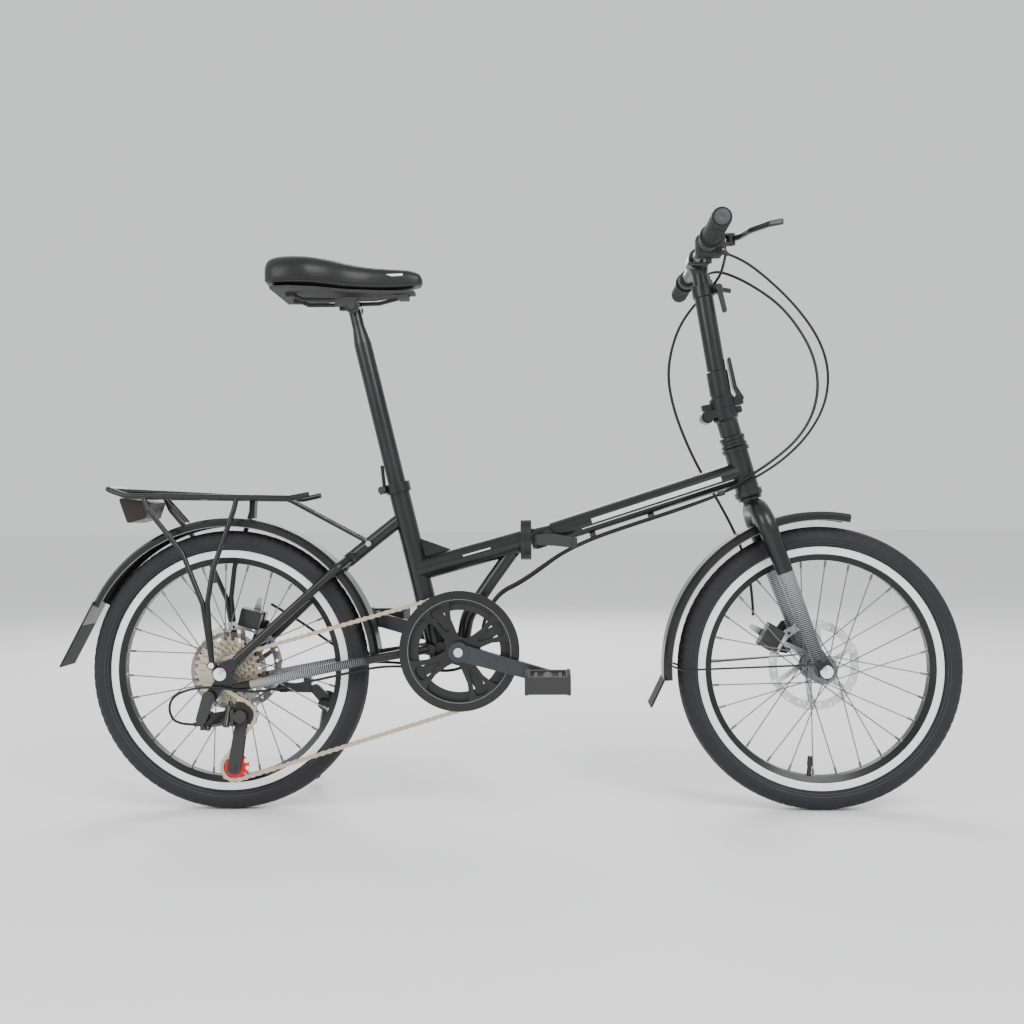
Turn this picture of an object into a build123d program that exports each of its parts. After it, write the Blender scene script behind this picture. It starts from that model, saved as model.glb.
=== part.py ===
from build123d import *
import os
from math import atan2, ceil, cos, degrees, hypot, pi, radians, sin, sqrt, tan

# A folding bicycle with 20 inch wheels, in millimetres.
# +X points to the rear, +Y to the rider's right (the drive side), +Z up.
# The origin lies on the ground under the middle of the bicycle. In side view a place is
# given as "ahead" of the rear axle and "up" from the ground.

# Overall layout
WHEELBASE = 1030.0
TYRE_RADIUS = 245.0
MUDFLAP_REACH = 297.0          # rear end of the mudflap behind the rear axle
BRACKET_AHEAD = 409.0          # crank axis ahead of the rear axle
BRACKET_UP = 282.0
HINGE_AHEAD = 523.0            # parting plane of the frame hinge
HINGE_UP = 471.0
SEAT_BEHIND_CRANK = 43.5       # seat tube axis behind the crank axis, at its height
SEAT_ANGLE = 13.5              # seat tube from the vertical
HEAD_ANGLE = 16.0              # steering axis from the vertical
HEAD_BOTTOM_AHEAD = 909.7      # steering axis where the head tube ends
HEAD_BOTTOM_UP = 554.0
HEAD_LENGTH = 70.0
REAR_TUBE_ANGLE = 15.5         # rise of the rear main tube
FRONT_TUBE_ANGLE = 17.5        # rise of the front main tube

# Tubes
MAIN_RADIUS = 20.0
MAIN_WALL = 2.0
SEAT_TUBE_RADIUS = 18.0
SEATPOST_RADIUS = 15.6
POST_CLEARANCE = 0.1
HEAD_RADIUS = 20.5
STEERER_RADIUS = 14.3
RUN_CLEARANCE = 0.05           # radial, for shafts that turn in a bore
GAP = 0.3                      # between faces of different moving pieces
BRACE_RADIUS = 12.0
STAY_RADIUS = 7.8
TUBE_WALL = 1.6
BRACKET_SHELL_RADIUS = 20.0
BRACKET_SHELL_WIDTH = 68.0

# Wheels
TYRE_HALF_WIDTH = 23.5
TYRE_WALL = 3.0
RIM_RADIUS = 210.5
RIM_HALF_WIDTH = 13.5
RIM_INNER_RADIUS = 187.0
RIM_TRACK_DEPTH = 12.0
SPOKES = 28
SPOKE_RADIUS = 1.0
FLANGE_RADIUS = 25.0
HOLE_CIRCLE = 21.5             # radius of the spoke holes in a hub flange
AXLE_RADIUS = 5.0
ROTOR_RADIUS = 80.0
FRONT_ROTOR_SIDE = -40.0
REAR_ROTOR_SIDE = -46.0
FRONT_DROPOUT = 50.0           # half the distance between the fork's dropouts
REAR_DROPOUT = 65.0

# Drivetrain
CHAIN_SIDE = 52.0              # lateral place of the chain
PITCH = 12.7
RING_TEETH = 48
COGS = (11, 13, 15, 18, 21, 24, 28)
COG_SPACING = 5.0
PULLEY_TEETH = 11
GUIDE_AHEAD = 35.0             # guide pulley, from the rear axle
GUIDE_DOWN = 72.0
TENSION_AHEAD = 20.0
TENSION_DOWN = 162.0
CRANK_LENGTH = 157.0
CRANK_ANGLE = 15.5             # right crank below the horizontal, pointing forwards
PEDAL_SIDE = 134.0
PEDAL_LENGTH = 74.0
PEDAL_WIDTH = 94.0
PEDAL_HEIGHT = 28.0
GUARD_RADIUS = 103.0

# Handlepost, bar and saddle
POST_ANGLE = 9.3               # handlepost from the vertical
POST_HINGE_UP = 698.0
POST_TOP_UP = 905.0
POST_RADIUS = 16.2
INNER_POST_RADIUS = 13.5
BAR_UP = 955.0
BAR_HALF = 290.0
BAR_RADIUS = 11.1
BAR_CENTRE_RADIUS = 12.7
GRIP_RADIUS = 15.5
GRIP_LENGTH = 118.0
COLLAR_UP = 563.0
SADDLE_CLAMP_UP = 893.0

# Mudguards and rack
GUARD_HALF = 29.0
GUARD_WALL = 2.0
REAR_GUARD_RADIUS = 267.0
FRONT_GUARD_RADIUS = 271.0
RACK_HALF = 55.0
RACK_ROD = 5.0

# Kickstand
STAND_AHEAD = 154.0
STAND_UP = 176.0
STAND_SIDE = -69.0
FOOT_AHEAD = 110.0
FOOT_UP = 20.0
FOOT_SIDE = -186.0

CABLE_RADIUS = 2.5

REAR_X = (WHEELBASE + TYRE_RADIUS - MUDFLAP_REACH) / 2
RIGHT = Vector(0, 1, 0)
UP = Vector(0, 0, 1)
AHEAD = Vector(-1, 0, 0)
os.makedirs("parts", exist_ok=True)
made = {}


def at(ahead, up, side=0.0):
    return Vector(REAR_X - ahead, side, up)


def save(name, *solids):
    """Writes one node, as a single solid or as a group of separate ones."""
    group = [s for shape in solids for s in shape.solids()]
    shape = group[0] if len(group) == 1 else Compound(children=group)
    shape.label = name
    made[name] = shape
    export_step(shape, f"parts/{name}.step")


# ---- Simple shapes ----

def rod(a, b, radius):
    tall = (b - a).length
    centred = (Align.CENTER, Align.CENTER, Align.MIN)
    return Plane(origin=a, z_dir=b - a).location * Cylinder(radius, tall, align=centred)


def taper(a, b, start_radius, end_radius):
    tall = (b - a).length
    centred = (Align.CENTER, Align.CENTER, Align.MIN)
    return Plane(origin=a, z_dir=b - a).location * Cone(start_radius, end_radius, tall, align=centred)


def pipe(a, b, outer, inner):
    section = Plane(origin=a, z_dir=b - a) * (Circle(outer) - Circle(inner))
    return extrude(section, (b - a).length)


def disc(centre, radius, side_a, side_b, inner=0.0):
    """A disc, or a ring, about the lateral axis through centre, from side_a to side_b."""
    a = Vector(centre.X, side_a, centre.Z)
    b = Vector(centre.X, side_b, centre.Z)
    return pipe(a, b, radius, inner) if inner else rod(a, b, radius)


def tube(points, radius, bend, wall=0.0):
    """A bent round tube through the points, with every corner at one bend radius."""
    path = FilletPolyline(*points, radius=bend)
    section = Circle(radius) - Circle(radius - wall) if wall else Circle(radius)
    return sweep(Plane(origin=path @ 0, z_dir=path % 0) * section, path=path)


def bar(centre, ahead, side, up, turn=0.0, round_edges=0.0):
    """A block turned about the lateral axis, nose up for a positive turn."""
    solid = Box(ahead, side, up)
    if round_edges:
        solid = fillet(solid.edges().filter_by(Axis.Y), round_edges)
    return Location(centre, (0, turn, 0)) * solid


def side_plate(outline, side_a, side_b):
    """A flat plate from its side view outline, between two lateral places."""
    low = min(side_a, side_b)
    points = [at(a, u, low) for a, u in outline]
    face = make_face(Polyline(*points, close=True))
    return extrude(face, abs(side_b - side_a), dir=RIGHT)


def link(a, b, radius_a, radius_b, side_a, side_b):
    """A flat link with two round ends, tangent between them."""
    view = Plane(origin=(0, 0, 0), x_dir=(1, 0, 0), z_dir=(0, -1, 0))
    circles = [Pos(a.X, a.Z) * Circle(radius_a), Pos(b.X, b.Z) * Circle(radius_b)]
    edges = [edge for circle in circles for edge in circle.edges()]
    face = view * make_hull(edges)
    low = min(side_a, side_b)
    return Pos(0, low, 0) * extrude(face, abs(side_b - side_a), dir=RIGHT)


def turned(centre, direction, outline):
    """A turned shape: outline points are (distance along, radius)."""
    across = direction.cross(UP)
    if across.length < 0.01:
        across = Vector(1, 0, 0)
    plane = Plane(origin=centre, x_dir=direction, z_dir=across)
    points = [plane.from_local_coords(Vector(x, r, 0)) for x, r in outline]
    face = make_face(Polyline(*points, close=True))
    return revolve(face, Axis(centre, direction), 360)


def around(centre, radius, angle, side=0.0):
    """A point about a lateral axis; 0 degrees points ahead and 90 degrees up."""
    return Vector(centre.X - radius * cos(radians(angle)), side, centre.Z + radius * sin(radians(angle)))


def bolt(a, direction, length, radius=2.5, head=4.5):
    """A screw whose head starts at a and whose shank runs along direction."""
    return rod(a, a + direction * length, radius) + rod(a - direction * 3, a, head)


def cable_path(points):
    """Straight runs joined by tangent arcs as large as the runs allow, and their radii."""
    radii = []
    for before, corner, after in zip(points, points[1:], points[2:]):
        turn = radians((corner - before).get_angle(after - corner))
        run = min((corner - before).length, (after - corner).length)
        radii.append(0.45 * run / tan(turn / 2))
    return FilletPolyline(*points, radius=radii), radii


def cable(name, points, radius=CABLE_RADIUS):
    path, radii = cable_path(points)
    solid = sweep(Plane(origin=path @ 0, z_dir=path % 0) * Circle(radius), path=path)
    share = solid.volume / (pi * radius ** 2 * path.length)
    listed = ", ".join(f"{r:.0f}" for r in radii)
    print(f"{name}: length {path.length:.0f}, radii {listed}; volume ratio {share:.4f}")
    return solid


# ---- Places worked out from the layout ----

REAR_AXLE = at(0, TYRE_RADIUS)
FRONT_AXLE = at(WHEELBASE, TYRE_RADIUS)
CRANK = at(BRACKET_AHEAD, BRACKET_UP)
HEAD_UP = Vector(sin(radians(HEAD_ANGLE)), 0, cos(radians(HEAD_ANGLE)))
HEAD_AHEAD = Vector(-cos(radians(HEAD_ANGLE)), 0, sin(radians(HEAD_ANGLE)))
POST_UP = Vector(sin(radians(POST_ANGLE)), 0, cos(radians(POST_ANGLE)))
POST_AHEAD = Vector(-cos(radians(POST_ANGLE)), 0, sin(radians(POST_ANGLE)))
SEAT_UP = Vector(sin(radians(SEAT_ANGLE)), 0, cos(radians(SEAT_ANGLE)))
HEAD_BOTTOM = at(HEAD_BOTTOM_AHEAD, HEAD_BOTTOM_UP)


def on_seat_tube(up):
    ahead = BRACKET_AHEAD - SEAT_BEHIND_CRANK - (up - BRACKET_UP) * tan(radians(SEAT_ANGLE))
    return at(ahead, up)


def on_steering(along, side=0.0):
    """A point on the steering axis, measured up from the bottom of the head tube."""
    return HEAD_BOTTOM + HEAD_UP * along + RIGHT * side


HINGE = at(HINGE_AHEAD, HINGE_UP)
POST_BASE = on_steering((POST_HINGE_UP - HEAD_BOTTOM_UP) / cos(radians(HEAD_ANGLE)))


def on_post(along, side=0.0, ahead=0.0):
    """A point on the handlepost, measured up from the parting plane of its hinge."""
    return POST_BASE + POST_UP * along + RIGHT * side + POST_AHEAD * ahead


def post_distance(up):
    return (up - POST_HINGE_UP) / cos(radians(POST_ANGLE))


def rear_tube_point(ahead):
    return at(ahead, HINGE_UP + (ahead - HINGE_AHEAD) * tan(radians(REAR_TUBE_ANGLE)))


def front_tube_point(ahead):
    return at(ahead, HINGE_UP - 4 + (ahead - HINGE_AHEAD) * tan(radians(FRONT_TUBE_ANGLE)))


# ---- Frame ----

PLATE_HALF_TALL = 36.0
PLATE_HALF_WIDE = 27.0
PLATE_THICK = 9.0
PIN_SIDE = -36.0
PIN_RADIUS = 4.0
KNUCKLE_RADIUS = 8.5
KNUCKLE_HALF = 11.0            # half the height of the middle knuckle
SEAT_TUBE_BOTTOM = 258.0
COLLAR_HEIGHT = 17.0


def hinge_plate(side_of_gap):
    """One face of the frame hinge, ahead of (1) or behind (-1) the parting plane."""
    face = Ellipse(PLATE_HALF_WIDE, PLATE_HALF_TALL)
    start = Plane(origin=HINGE + AHEAD * side_of_gap * GAP / 2, x_dir=(0, 1, 0), z_dir=AHEAD * side_of_gap)
    return extrude(start * face, PLATE_THICK)


def knuckle(low, high):
    """A knuckle of the frame hinge, with its web to the plate's side."""
    a = Vector(HINGE.X, PIN_SIDE, HINGE_UP + low)
    b = Vector(HINGE.X, PIN_SIDE, HINGE_UP + high)
    return rod(a, b, KNUCKLE_RADIUS)


def hinge_web(side_of_gap, low, high):
    """Joins a knuckle to the plate on one side of the parting plane."""
    thick = PLATE_THICK - 1
    wide = abs(PIN_SIDE) - PLATE_HALF_WIDE + 14
    centre = Vector(
        HINGE.X + side_of_gap * (-1) * (GAP / 2 + thick / 2),
        PIN_SIDE + wide / 2,
        HINGE_UP + (low + high) / 2,
    )
    return Location(centre) * Box(thick, wide, high - low)


def pin_bore(half_length):
    a = Vector(HINGE.X, PIN_SIDE, HINGE_UP - half_length)
    b = Vector(HINGE.X, PIN_SIDE, HINGE_UP + half_length)
    return rod(a, b, PIN_RADIUS + RUN_CLEARANCE)


def junction_block():
    """Joins the bottom bracket shell, the seat tube and the chainstays."""
    return bar(at(BRACKET_AHEAD - 24, BRACKET_UP - 2), 40, 44, 26, 0, 6)


def make_rear_frame():
    seat_low = on_seat_tube(SEAT_TUBE_BOTTOM)
    seat_high = on_seat_tube(COLLAR_UP - 4)
    joint = rear_tube_point(BRACKET_AHEAD - SEAT_BEHIND_CRANK - 36)
    plate_back = rear_tube_point(HINGE_AHEAD - PLATE_THICK)
    main = rod(joint, plate_back + AHEAD * 3, MAIN_RADIUS)
    shell = disc(CRANK, BRACKET_SHELL_RADIUS, -BRACKET_SHELL_WIDTH / 2, BRACKET_SHELL_WIDTH / 2)
    brace_points = [
        rear_tube_point(HINGE_AHEAD - 18) - UP * 8,
        at(HINGE_AHEAD - 62, HINGE_UP - 73),
        at(BRACKET_AHEAD + 10, BRACKET_UP + 55),
        at(BRACKET_AHEAD, BRACKET_UP),
    ]
    brace = tube(brace_points, BRACE_RADIUS, 60)
    gusset = side_plate([(312, 480), (326, 478), (398, 452), (404, 438), (330, 430)], -3, 3)
    outside = rod(seat_low, seat_high, SEAT_TUBE_RADIUS) + main + shell + brace + gusset + junction_block()
    plate = hinge_plate(-1)
    gap = KNUCKLE_HALF + GAP
    knuckles = [knuckle(gap, 26), knuckle(-26, -gap)]
    webs = [hinge_web(-1, gap, 26), hinge_web(-1, -26, -gap)]
    clear_of_front = Location(Vector(HINGE.X - 10, PIN_SIDE + 20, HINGE_UP)) * Box(20 - GAP, 60, 2 * PLATE_HALF_TALL + 10)
    front_half = plate + webs[0] + webs[1] - clear_of_front
    outside = outside + front_half + knuckles[0] + knuckles[1]
    bores = [
        rod(joint, rear_tube_point(HINGE_AHEAD - PLATE_THICK - 6), MAIN_RADIUS - MAIN_WALL),
        rod(seat_low - SEAT_UP * 5, seat_high + SEAT_UP * 5, SEATPOST_RADIUS + POST_CLEARANCE),
        disc(CRANK, BRACKET_SHELL_RADIUS - 2.8, -60, 60),
        pin_bore(30),
    ]
    for bore in bores:
        outside = outside - bore
    slot_low = on_seat_tube(COLLAR_UP - 40)
    slot = Location((slot_low + seat_high) * 0.5 + Vector(SEAT_TUBE_RADIUS, 0, 8), (0, SEAT_ANGLE, 0)) * Box(14, 2, 50)
    outside = outside - slot

    middle = on_seat_tube(COLLAR_UP)
    ring = pipe(middle - SEAT_UP * COLLAR_HEIGHT / 2, middle + SEAT_UP * COLLAR_HEIGHT / 2,
                SEAT_TUBE_RADIUS + 4, SEATPOST_RADIUS + POST_CLEARANCE)
    ring = ring - rod(middle - SEAT_UP * 20, seat_high + SEAT_UP * 0.02, SEAT_TUBE_RADIUS + 0.02)
    ears = Location(middle + Vector(SEAT_TUBE_RADIUS + 8, 0, -4), (0, SEAT_ANGLE, 0)) * Box(14, 18, 13)
    split = Location(middle + Vector(SEAT_TUBE_RADIUS + 6, 0, -2), (0, SEAT_ANGLE, 0)) * Box(26, 2, 40)
    hole = rod(collar_bolt(-20), collar_bolt(20), 3.1)
    ears = ears - rod(middle - SEAT_UP * 30, middle + SEAT_UP * 30, SEAT_TUBE_RADIUS + 1)
    save("rear_frame", outside, ring + ears - split - hole)


def collar_bolt(side):
    return on_seat_tube(COLLAR_UP) + Vector(SEAT_TUBE_RADIUS + 9, side, -4)


def make_seat_clamp_lever():
    skewer = rod(collar_bolt(-16), collar_bolt(16), 2.8)
    nut = rod(collar_bolt(9 + GAP), collar_bolt(17), 6.5)
    cam = rod(collar_bolt(-9 - GAP), collar_bolt(-21), 6.5)
    base = collar_bolt(-17)
    blade = Location(base + Vector(2, -2, 22), (0, 6, 0)) * Box(6, 6, 46)
    blade = fillet(blade.edges(), 1.5)
    save("seat_clamp_lever", skewer + nut + cam + blade)


STAY_REAR_SIDE = REAR_DROPOUT + 3.0


def chainstay(s):
    points = [
        at(22, 221, s * (STAY_REAR_SIDE - 0.5)),
        at(70, 230, s * 62),
        at(262, 268, s * 43),
        at(352, 282, s * 27),
    ]
    return tube(points, STAY_RADIUS, 40)


def make_rear_stays():
    solids = []
    for s in (-1, 1):
        seatstay = [
            at(26, 268, s * (STAY_REAR_SIDE - 0.5)),
            at(52, 291, s * 63.5),
            at(198, 425, s * 39),
            at(216, 442, s * 12),
        ]
        dropout = side_plate([(-9, 240), (-12, 256), (10, 268), (33, 276), (35, 262), (18, 246),
                              (32, 230), (30, 214), (10, 222), (-6, 228)], s * REAR_DROPOUT, s * (REAR_DROPOUT + 6))
        slot = disc(REAR_AXLE, AXLE_RADIUS + 0.1, s * (REAR_DROPOUT - 5), s * (REAR_DROPOUT + 12))
        eyelet = disc(at(-12, 261), 6, s * (REAR_DROPOUT + 0.5), s * (REAR_DROPOUT + 5.5))
        side = chainstay(s) + tube(seatstay, STAY_RADIUS, 14) + dropout + eyelet
        side = side - slot - disc(at(-12, 261), 2.6, s * (REAR_DROPOUT - 5), s * (REAR_DROPOUT + 12))
        solids.append(side)
    wishbone = rod(at(208, 434.5), on_seat_tube(514), 12) - rod(on_seat_tube(400), on_seat_tube(600), SEAT_TUBE_RADIUS)
    crossbar = rod(at(216, 442, -22), at(216, 442, 22), 9)
    yoke = bar(at(352, 281), 26, 58, 18, -8, 5) - rod(on_seat_tube(200), on_seat_tube(400), SEAT_TUBE_RADIUS)
    bridge = rod(at(300, 275.5, -36), at(300, 275.5, 36), 5)
    hanger = side_plate([(-6, 240), (18, 240), (2, 216), (-10, 196), (-26, 198), (-27, 212), (-14, 226)],
                        REAR_DROPOUT, REAR_DROPOUT + 6) - disc(HANGER_BOLT, 5.05, REAR_DROPOUT - 5, REAR_DROPOUT + 12)
    tab = side_plate([(6, 262), (36, 268), (62, 300), (48, 326), (30, 318)], -REAR_DROPOUT, -REAR_DROPOUT - 5)
    hanger = hanger - disc(REAR_AXLE, AXLE_RADIUS + 0.1, 50, 80)
    tab = tab - disc(REAR_CALLIPER, 7.5, -REAR_DROPOUT - 20, -REAR_DROPOUT + 5)
    shell_gap = disc(CRANK, BRACKET_SHELL_RADIUS, -50, 50)
    whole = solids[0] + solids[1] + wishbone + crossbar + yoke + bridge + hanger + tab - shell_gap
    whole = whole - rod(on_seat_tube(200), on_seat_tube(400), SEAT_TUBE_RADIUS) - junction_block()
    save("rear_stays", whole - disc(RACK_STAY_FOOT, 2.55, -30, 30))


HANGER_BOLT = at(-18, 206)
RACK_STAY_FOOT = at(248, 465.7)
REAR_CALLIPER = at(24, TYRE_RADIUS + 84)
FRONT_CALLIPER = at(WHEELBASE - 74, TYRE_RADIUS + 48)


def make_bottom_bracket():
    cartridge = disc(CRANK, BRACKET_SHELL_RADIUS - 2.8, -34, 34, inner=8 + RUN_CLEARANCE)
    cups = [disc(CRANK, BRACKET_SHELL_RADIUS - 1, s * 34, s * 37, inner=8 + RUN_CLEARANCE) for s in (-1, 1)]
    save("bottom_bracket", cartridge + cups[0] + cups[1])


FRONT_NECK_AHEAD = 62.0


def make_front_frame():
    head_top = on_steering(HEAD_LENGTH)
    tube_back = front_tube_point(HINGE_AHEAD + 46)
    tube_front = front_tube_point(HEAD_BOTTOM_AHEAD - 10)
    main = rod(tube_back, tube_front, MAIN_RADIUS)
    slant = Location(front_tube_point(HINGE_AHEAD + 30) + UP * 2, (0, 52, 0)) * Box(34, 60, 80)
    neck = taper(HINGE + AHEAD * (PLATE_THICK - 1), front_tube_point(HINGE_AHEAD + FRONT_NECK_AHEAD), 19, 15)
    head = rod(HEAD_BOTTOM, head_top, HEAD_RADIUS)
    plate = hinge_plate(1)
    middle = knuckle(-KNUCKLE_HALF, KNUCKLE_HALF)
    web = hinge_web(1, -KNUCKLE_HALF, KNUCKLE_HALF)
    behind = Location(Vector(HINGE.X + 10, PIN_SIDE + 20, HINGE_UP)) * Box(20 - GAP, 60, 2 * PLATE_HALF_TALL + 10)
    lug = bar(LATCH_PIN - RIGHT * 8, 22, 14, 30, FRONT_TUBE_ANGLE, 4)
    boss_gap = disc_up(LATCH_PIN, 10.4, -9.6, 9.6)
    body = (main - slant) + neck + head + (plate + web - behind) + middle + lug
    body = body - boss_gap - pin_bore(30) - disc_up(LATCH_PIN, 3.05, -14, 14)
    body = body - rod(front_tube_point(HINGE_AHEAD + 80), front_tube_point(HEAD_BOTTOM_AHEAD - 30), MAIN_RADIUS - MAIN_WALL)
    body = body - rod(HEAD_BOTTOM - HEAD_UP * 5, head_top + HEAD_UP * 5, HEAD_RADIUS - 3.5)

    lower = turned(HEAD_BOTTOM, HEAD_UP * -1, [(0, 15.6), (0, 24), (9, 24), (13, 21), (13, 15.6)])
    upper = turned(head_top, HEAD_UP, [(0, 15.6), (0, 23.5), (7, 23.5), (9, 21), (9, 15.6)])
    insert_low = pipe(HEAD_BOTTOM, HEAD_BOTTOM + HEAD_UP * 12, HEAD_RADIUS - 3.5, 15.6)
    insert_high = pipe(head_top - HEAD_UP * 12, head_top, HEAD_RADIUS - 3.5, 15.6)
    save("front_frame", body, lower + insert_low, upper + insert_high)


def disc_up(centre, radius, low, high):
    """A disc about the vertical axis through centre."""
    return rod(centre + UP * low, centre + UP * high, radius)


LATCH_PIN = HINGE + AHEAD * 24 + RIGHT * 27


def make_frame_latch():
    boss = disc_up(LATCH_PIN, 9, -9, 9) - disc_up(LATCH_PIN, 3.05, -12, 12)
    blade = side_plate([(HINGE_AHEAD + 20, HINGE_UP - 9), (HINGE_AHEAD + 20, HINGE_UP + 9),
                        (HINGE_AHEAD + 50, HINGE_UP + 10), (HINGE_AHEAD + 86, HINGE_UP + 3),
                        (HINGE_AHEAD + 86, HINGE_UP - 15), (HINGE_AHEAD + 50, HINGE_UP - 11)],
                       LATCH_PIN.Y + 3, LATCH_PIN.Y + 9)
    tip = disc_up(at(HINGE_AHEAD + 84, HINGE_UP - 6, LATCH_PIN.Y + 6), 5, -9, 9)
    save("frame_latch", boss + blade + tip - disc_up(LATCH_PIN, 3.05, -12, 12))


# ---- Wheels ----

def ring_section(outline):
    """Revolves a closed (side, radius) outline about the lateral axis at the origin."""
    points = [Vector(0, y, r) for y, r in outline]
    face = make_face(Polyline(*points, close=True))
    return revolve(face, Axis((0, 0, 0), (0, 1, 0)), 360)


def tyre_shape():
    outer = [(11.2, 204.0), (11.2, 211.0), (15.5, 212.2)]
    bulge = ThreePointArc((0, 15.5, 212.2), (0, TYRE_HALF_WIDTH, 225), (0, 15.5, 240.5))
    crown = ThreePointArc((0, 15.5, 240.5), (0, 0, TYRE_RADIUS), (0, -15.5, 240.5))
    other = ThreePointArc((0, -15.5, 240.5), (0, -TYRE_HALF_WIDTH, 225), (0, -15.5, 212.2))
    left = [(-15.5, 212.2), (-11.2, 211.0), (-11.2, 204.0), (-8.2, 204.0), (-8.2, 212.0), (-12.5, 214.5)]
    inner_left = ThreePointArc((0, -12.5, 214.5), (0, -TYRE_HALF_WIDTH + TYRE_WALL, 225), (0, -13.5, 237.5))
    inner_top = ThreePointArc((0, -13.5, 237.5), (0, 0, TYRE_RADIUS - TYRE_WALL - 1), (0, 13.5, 237.5))
    inner_right = ThreePointArc((0, 13.5, 237.5), (0, TYRE_HALF_WIDTH - TYRE_WALL, 225), (0, 12.5, 214.5))
    right = [(12.5, 214.5), (8.2, 212.0), (8.2, 204.0), (11.2, 204.0)]

    def line(points):
        return Polyline(*[Vector(0, y, r) for y, r in points])

    edges = line(outer).edges() + bulge.edges() + crown.edges() + other.edges() + line(left).edges()
    edges = edges + inner_left.edges() + inner_top.edges() + inner_right.edges() + line(right).edges()
    return revolve(make_face(edges), Axis((0, 0, 0), (0, 1, 0)), 360)


def inner_tube(valve_angle):
    centre = Vector(0, 0, 222.5)
    section = Plane(origin=centre, x_dir=(0, 1, 0), z_dir=(1, 0, 0)) * (Circle(16.5) - Circle(15.3))
    torus = revolve(section, Axis((0, 0, 0), (0, 1, 0)), 360)
    out = Vector(-cos(radians(valve_angle)), 0, sin(radians(valve_angle)))
    stem = rod(out * 207.2, out * (RIM_INNER_RADIUS - 30), 4.0)
    return torus + stem


def rim_shape(valve_angle):
    w = RIM_HALF_WIDTH
    track = RIM_RADIUS - RIM_TRACK_DEPTH
    outline = [(w, RIM_RADIUS), (w, track), (8.5, RIM_INNER_RADIUS), (-8.5, RIM_INNER_RADIUS), (-w, track),
               (-w, RIM_RADIUS), (-w + 2, RIM_RADIUS), (-w + 2, 203.5), (-7, 199.5), (7, 199.5),
               (w - 2, 203.5), (w - 2, RIM_RADIUS)]
    box = ring_section(outline)
    hollow = ring_section([(9.6, 197.3), (7.0, 189.2), (-7.0, 189.2), (-9.6, 197.3)])
    out = Vector(-cos(radians(valve_angle)), 0, sin(radians(valve_angle)))
    hole = rod(out * (RIM_INNER_RADIUS - 10), out * 206, 4.3)
    return box - hollow - hole


def spokes_shape(left_flange, right_flange, first_angle):
    """Spokes laced three-cross, each with its nipple at the rim."""
    parts = []
    step = 360 / SPOKES
    lean = 3 * 2 * step
    for k in range(SPOKES):
        flange = right_flange if k % 2 == 0 else left_flange
        outward = 1 if flange > 0 else -1
        turn = lean if (k // 2) % 2 == 0 else -lean
        face = 2.7 if turn > 0 else -2.7
        rim_angle = first_angle + k * step
        hub_angle = rim_angle - turn
        near = around(Vector(0, 0, 0), HOLE_CIRCLE, hub_angle, flange + outward * face)
        far = around(Vector(0, 0, 0), RIM_INNER_RADIUS + 1, rim_angle, outward * 2.5)
        run = (far - near).normalized()
        nipple_foot = far - run * 13
        head = rod(Vector(near.X, flange - 2.7, near.Z), Vector(near.X, flange + 2.7, near.Z), SPOKE_RADIUS)
        spoke = rod(near, nipple_foot, SPOKE_RADIUS)
        parts.append(spoke + head)
        parts.append(rod(nipple_foot, far, 2.0))
    return parts


def hub_shape(left_flange, right_flange, left_end, right_end, rotor_side):
    """A disc brake hub with two spoke flanges and a rotor seat on the left."""
    outline = [
        (left_end, AXLE_RADIUS + 2), (left_end, 12), (rotor_side - 2, 12), (rotor_side - 2, 17.5),
        (rotor_side + 4.2, 17.5), (left_flange - 2, 19), (left_flange - 1.5, FLANGE_RADIUS),
        (left_flange + 1.5, FLANGE_RADIUS), (left_flange + 3, 17), (left_flange + 10, 14),
        (right_flange - 10, 14), (right_flange - 3, 17), (right_flange - 1.5, FLANGE_RADIUS),
        (right_flange + 1.5, FLANGE_RADIUS), (right_flange + 3, 15), (right_end, 14), (right_end, AXLE_RADIUS + 2),
    ]
    shell = turned(Vector(0, 0, 0), RIGHT, outline)
    pockets = [disc(Vector(0, 0, 0), 11, left_end - 1, left_end + 9), disc(Vector(0, 0, 0), 11, right_end - 9, right_end + 1)]
    shell = shell - pockets[0] - pockets[1]
    bearings = [
        disc(Vector(0, 0, 0), 11, left_end + 1, left_end + 9, inner=AXLE_RADIUS + RUN_CLEARANCE),
        disc(Vector(0, 0, 0), 11, right_end - 9, right_end - 1, inner=AXLE_RADIUS + RUN_CLEARANCE),
    ]
    return shell, bearings


def rotor_shape(side):
    """A brake disc with a waved edge, holes and six arms."""
    outer = ROTOR_RADIUS
    ring = disc(Vector(0, 0, 0), outer, side, side + 1.8, inner=outer - 15)
    waves = 12
    for k in range(waves):
        place = around(Vector(0, 0, 0), outer + 6.2, k * 360 / waves, side)
        ring = ring - disc(place, 8, side - 1, side + 3)
    for k in range(24):
        place = around(Vector(0, 0, 0), outer - 7 + (2.2 if k % 2 else -2.2), k * 15 + 7.5, side)
        ring = ring - disc(place, 2.6, side - 1, side + 3)
    carrier = disc(Vector(0, 0, 0), 27, side, side + 1.8)
    for k in range(6):
        inner_end = around(Vector(0, 0, 0), 22, k * 60, side)
        outer_end = around(Vector(0, 0, 0), outer - 12, k * 60 + 24, side)
        ring = ring + link(inner_end, outer_end, 5, 4, side, side + 1.8)
    ring = ring + carrier - disc(Vector(0, 0, 0), 17.6, side - 1, side + 3)
    return ring


def place_all(shapes, centre):
    return [Pos(centre.X, 0, centre.Z) * shape for shape in shapes]


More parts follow.
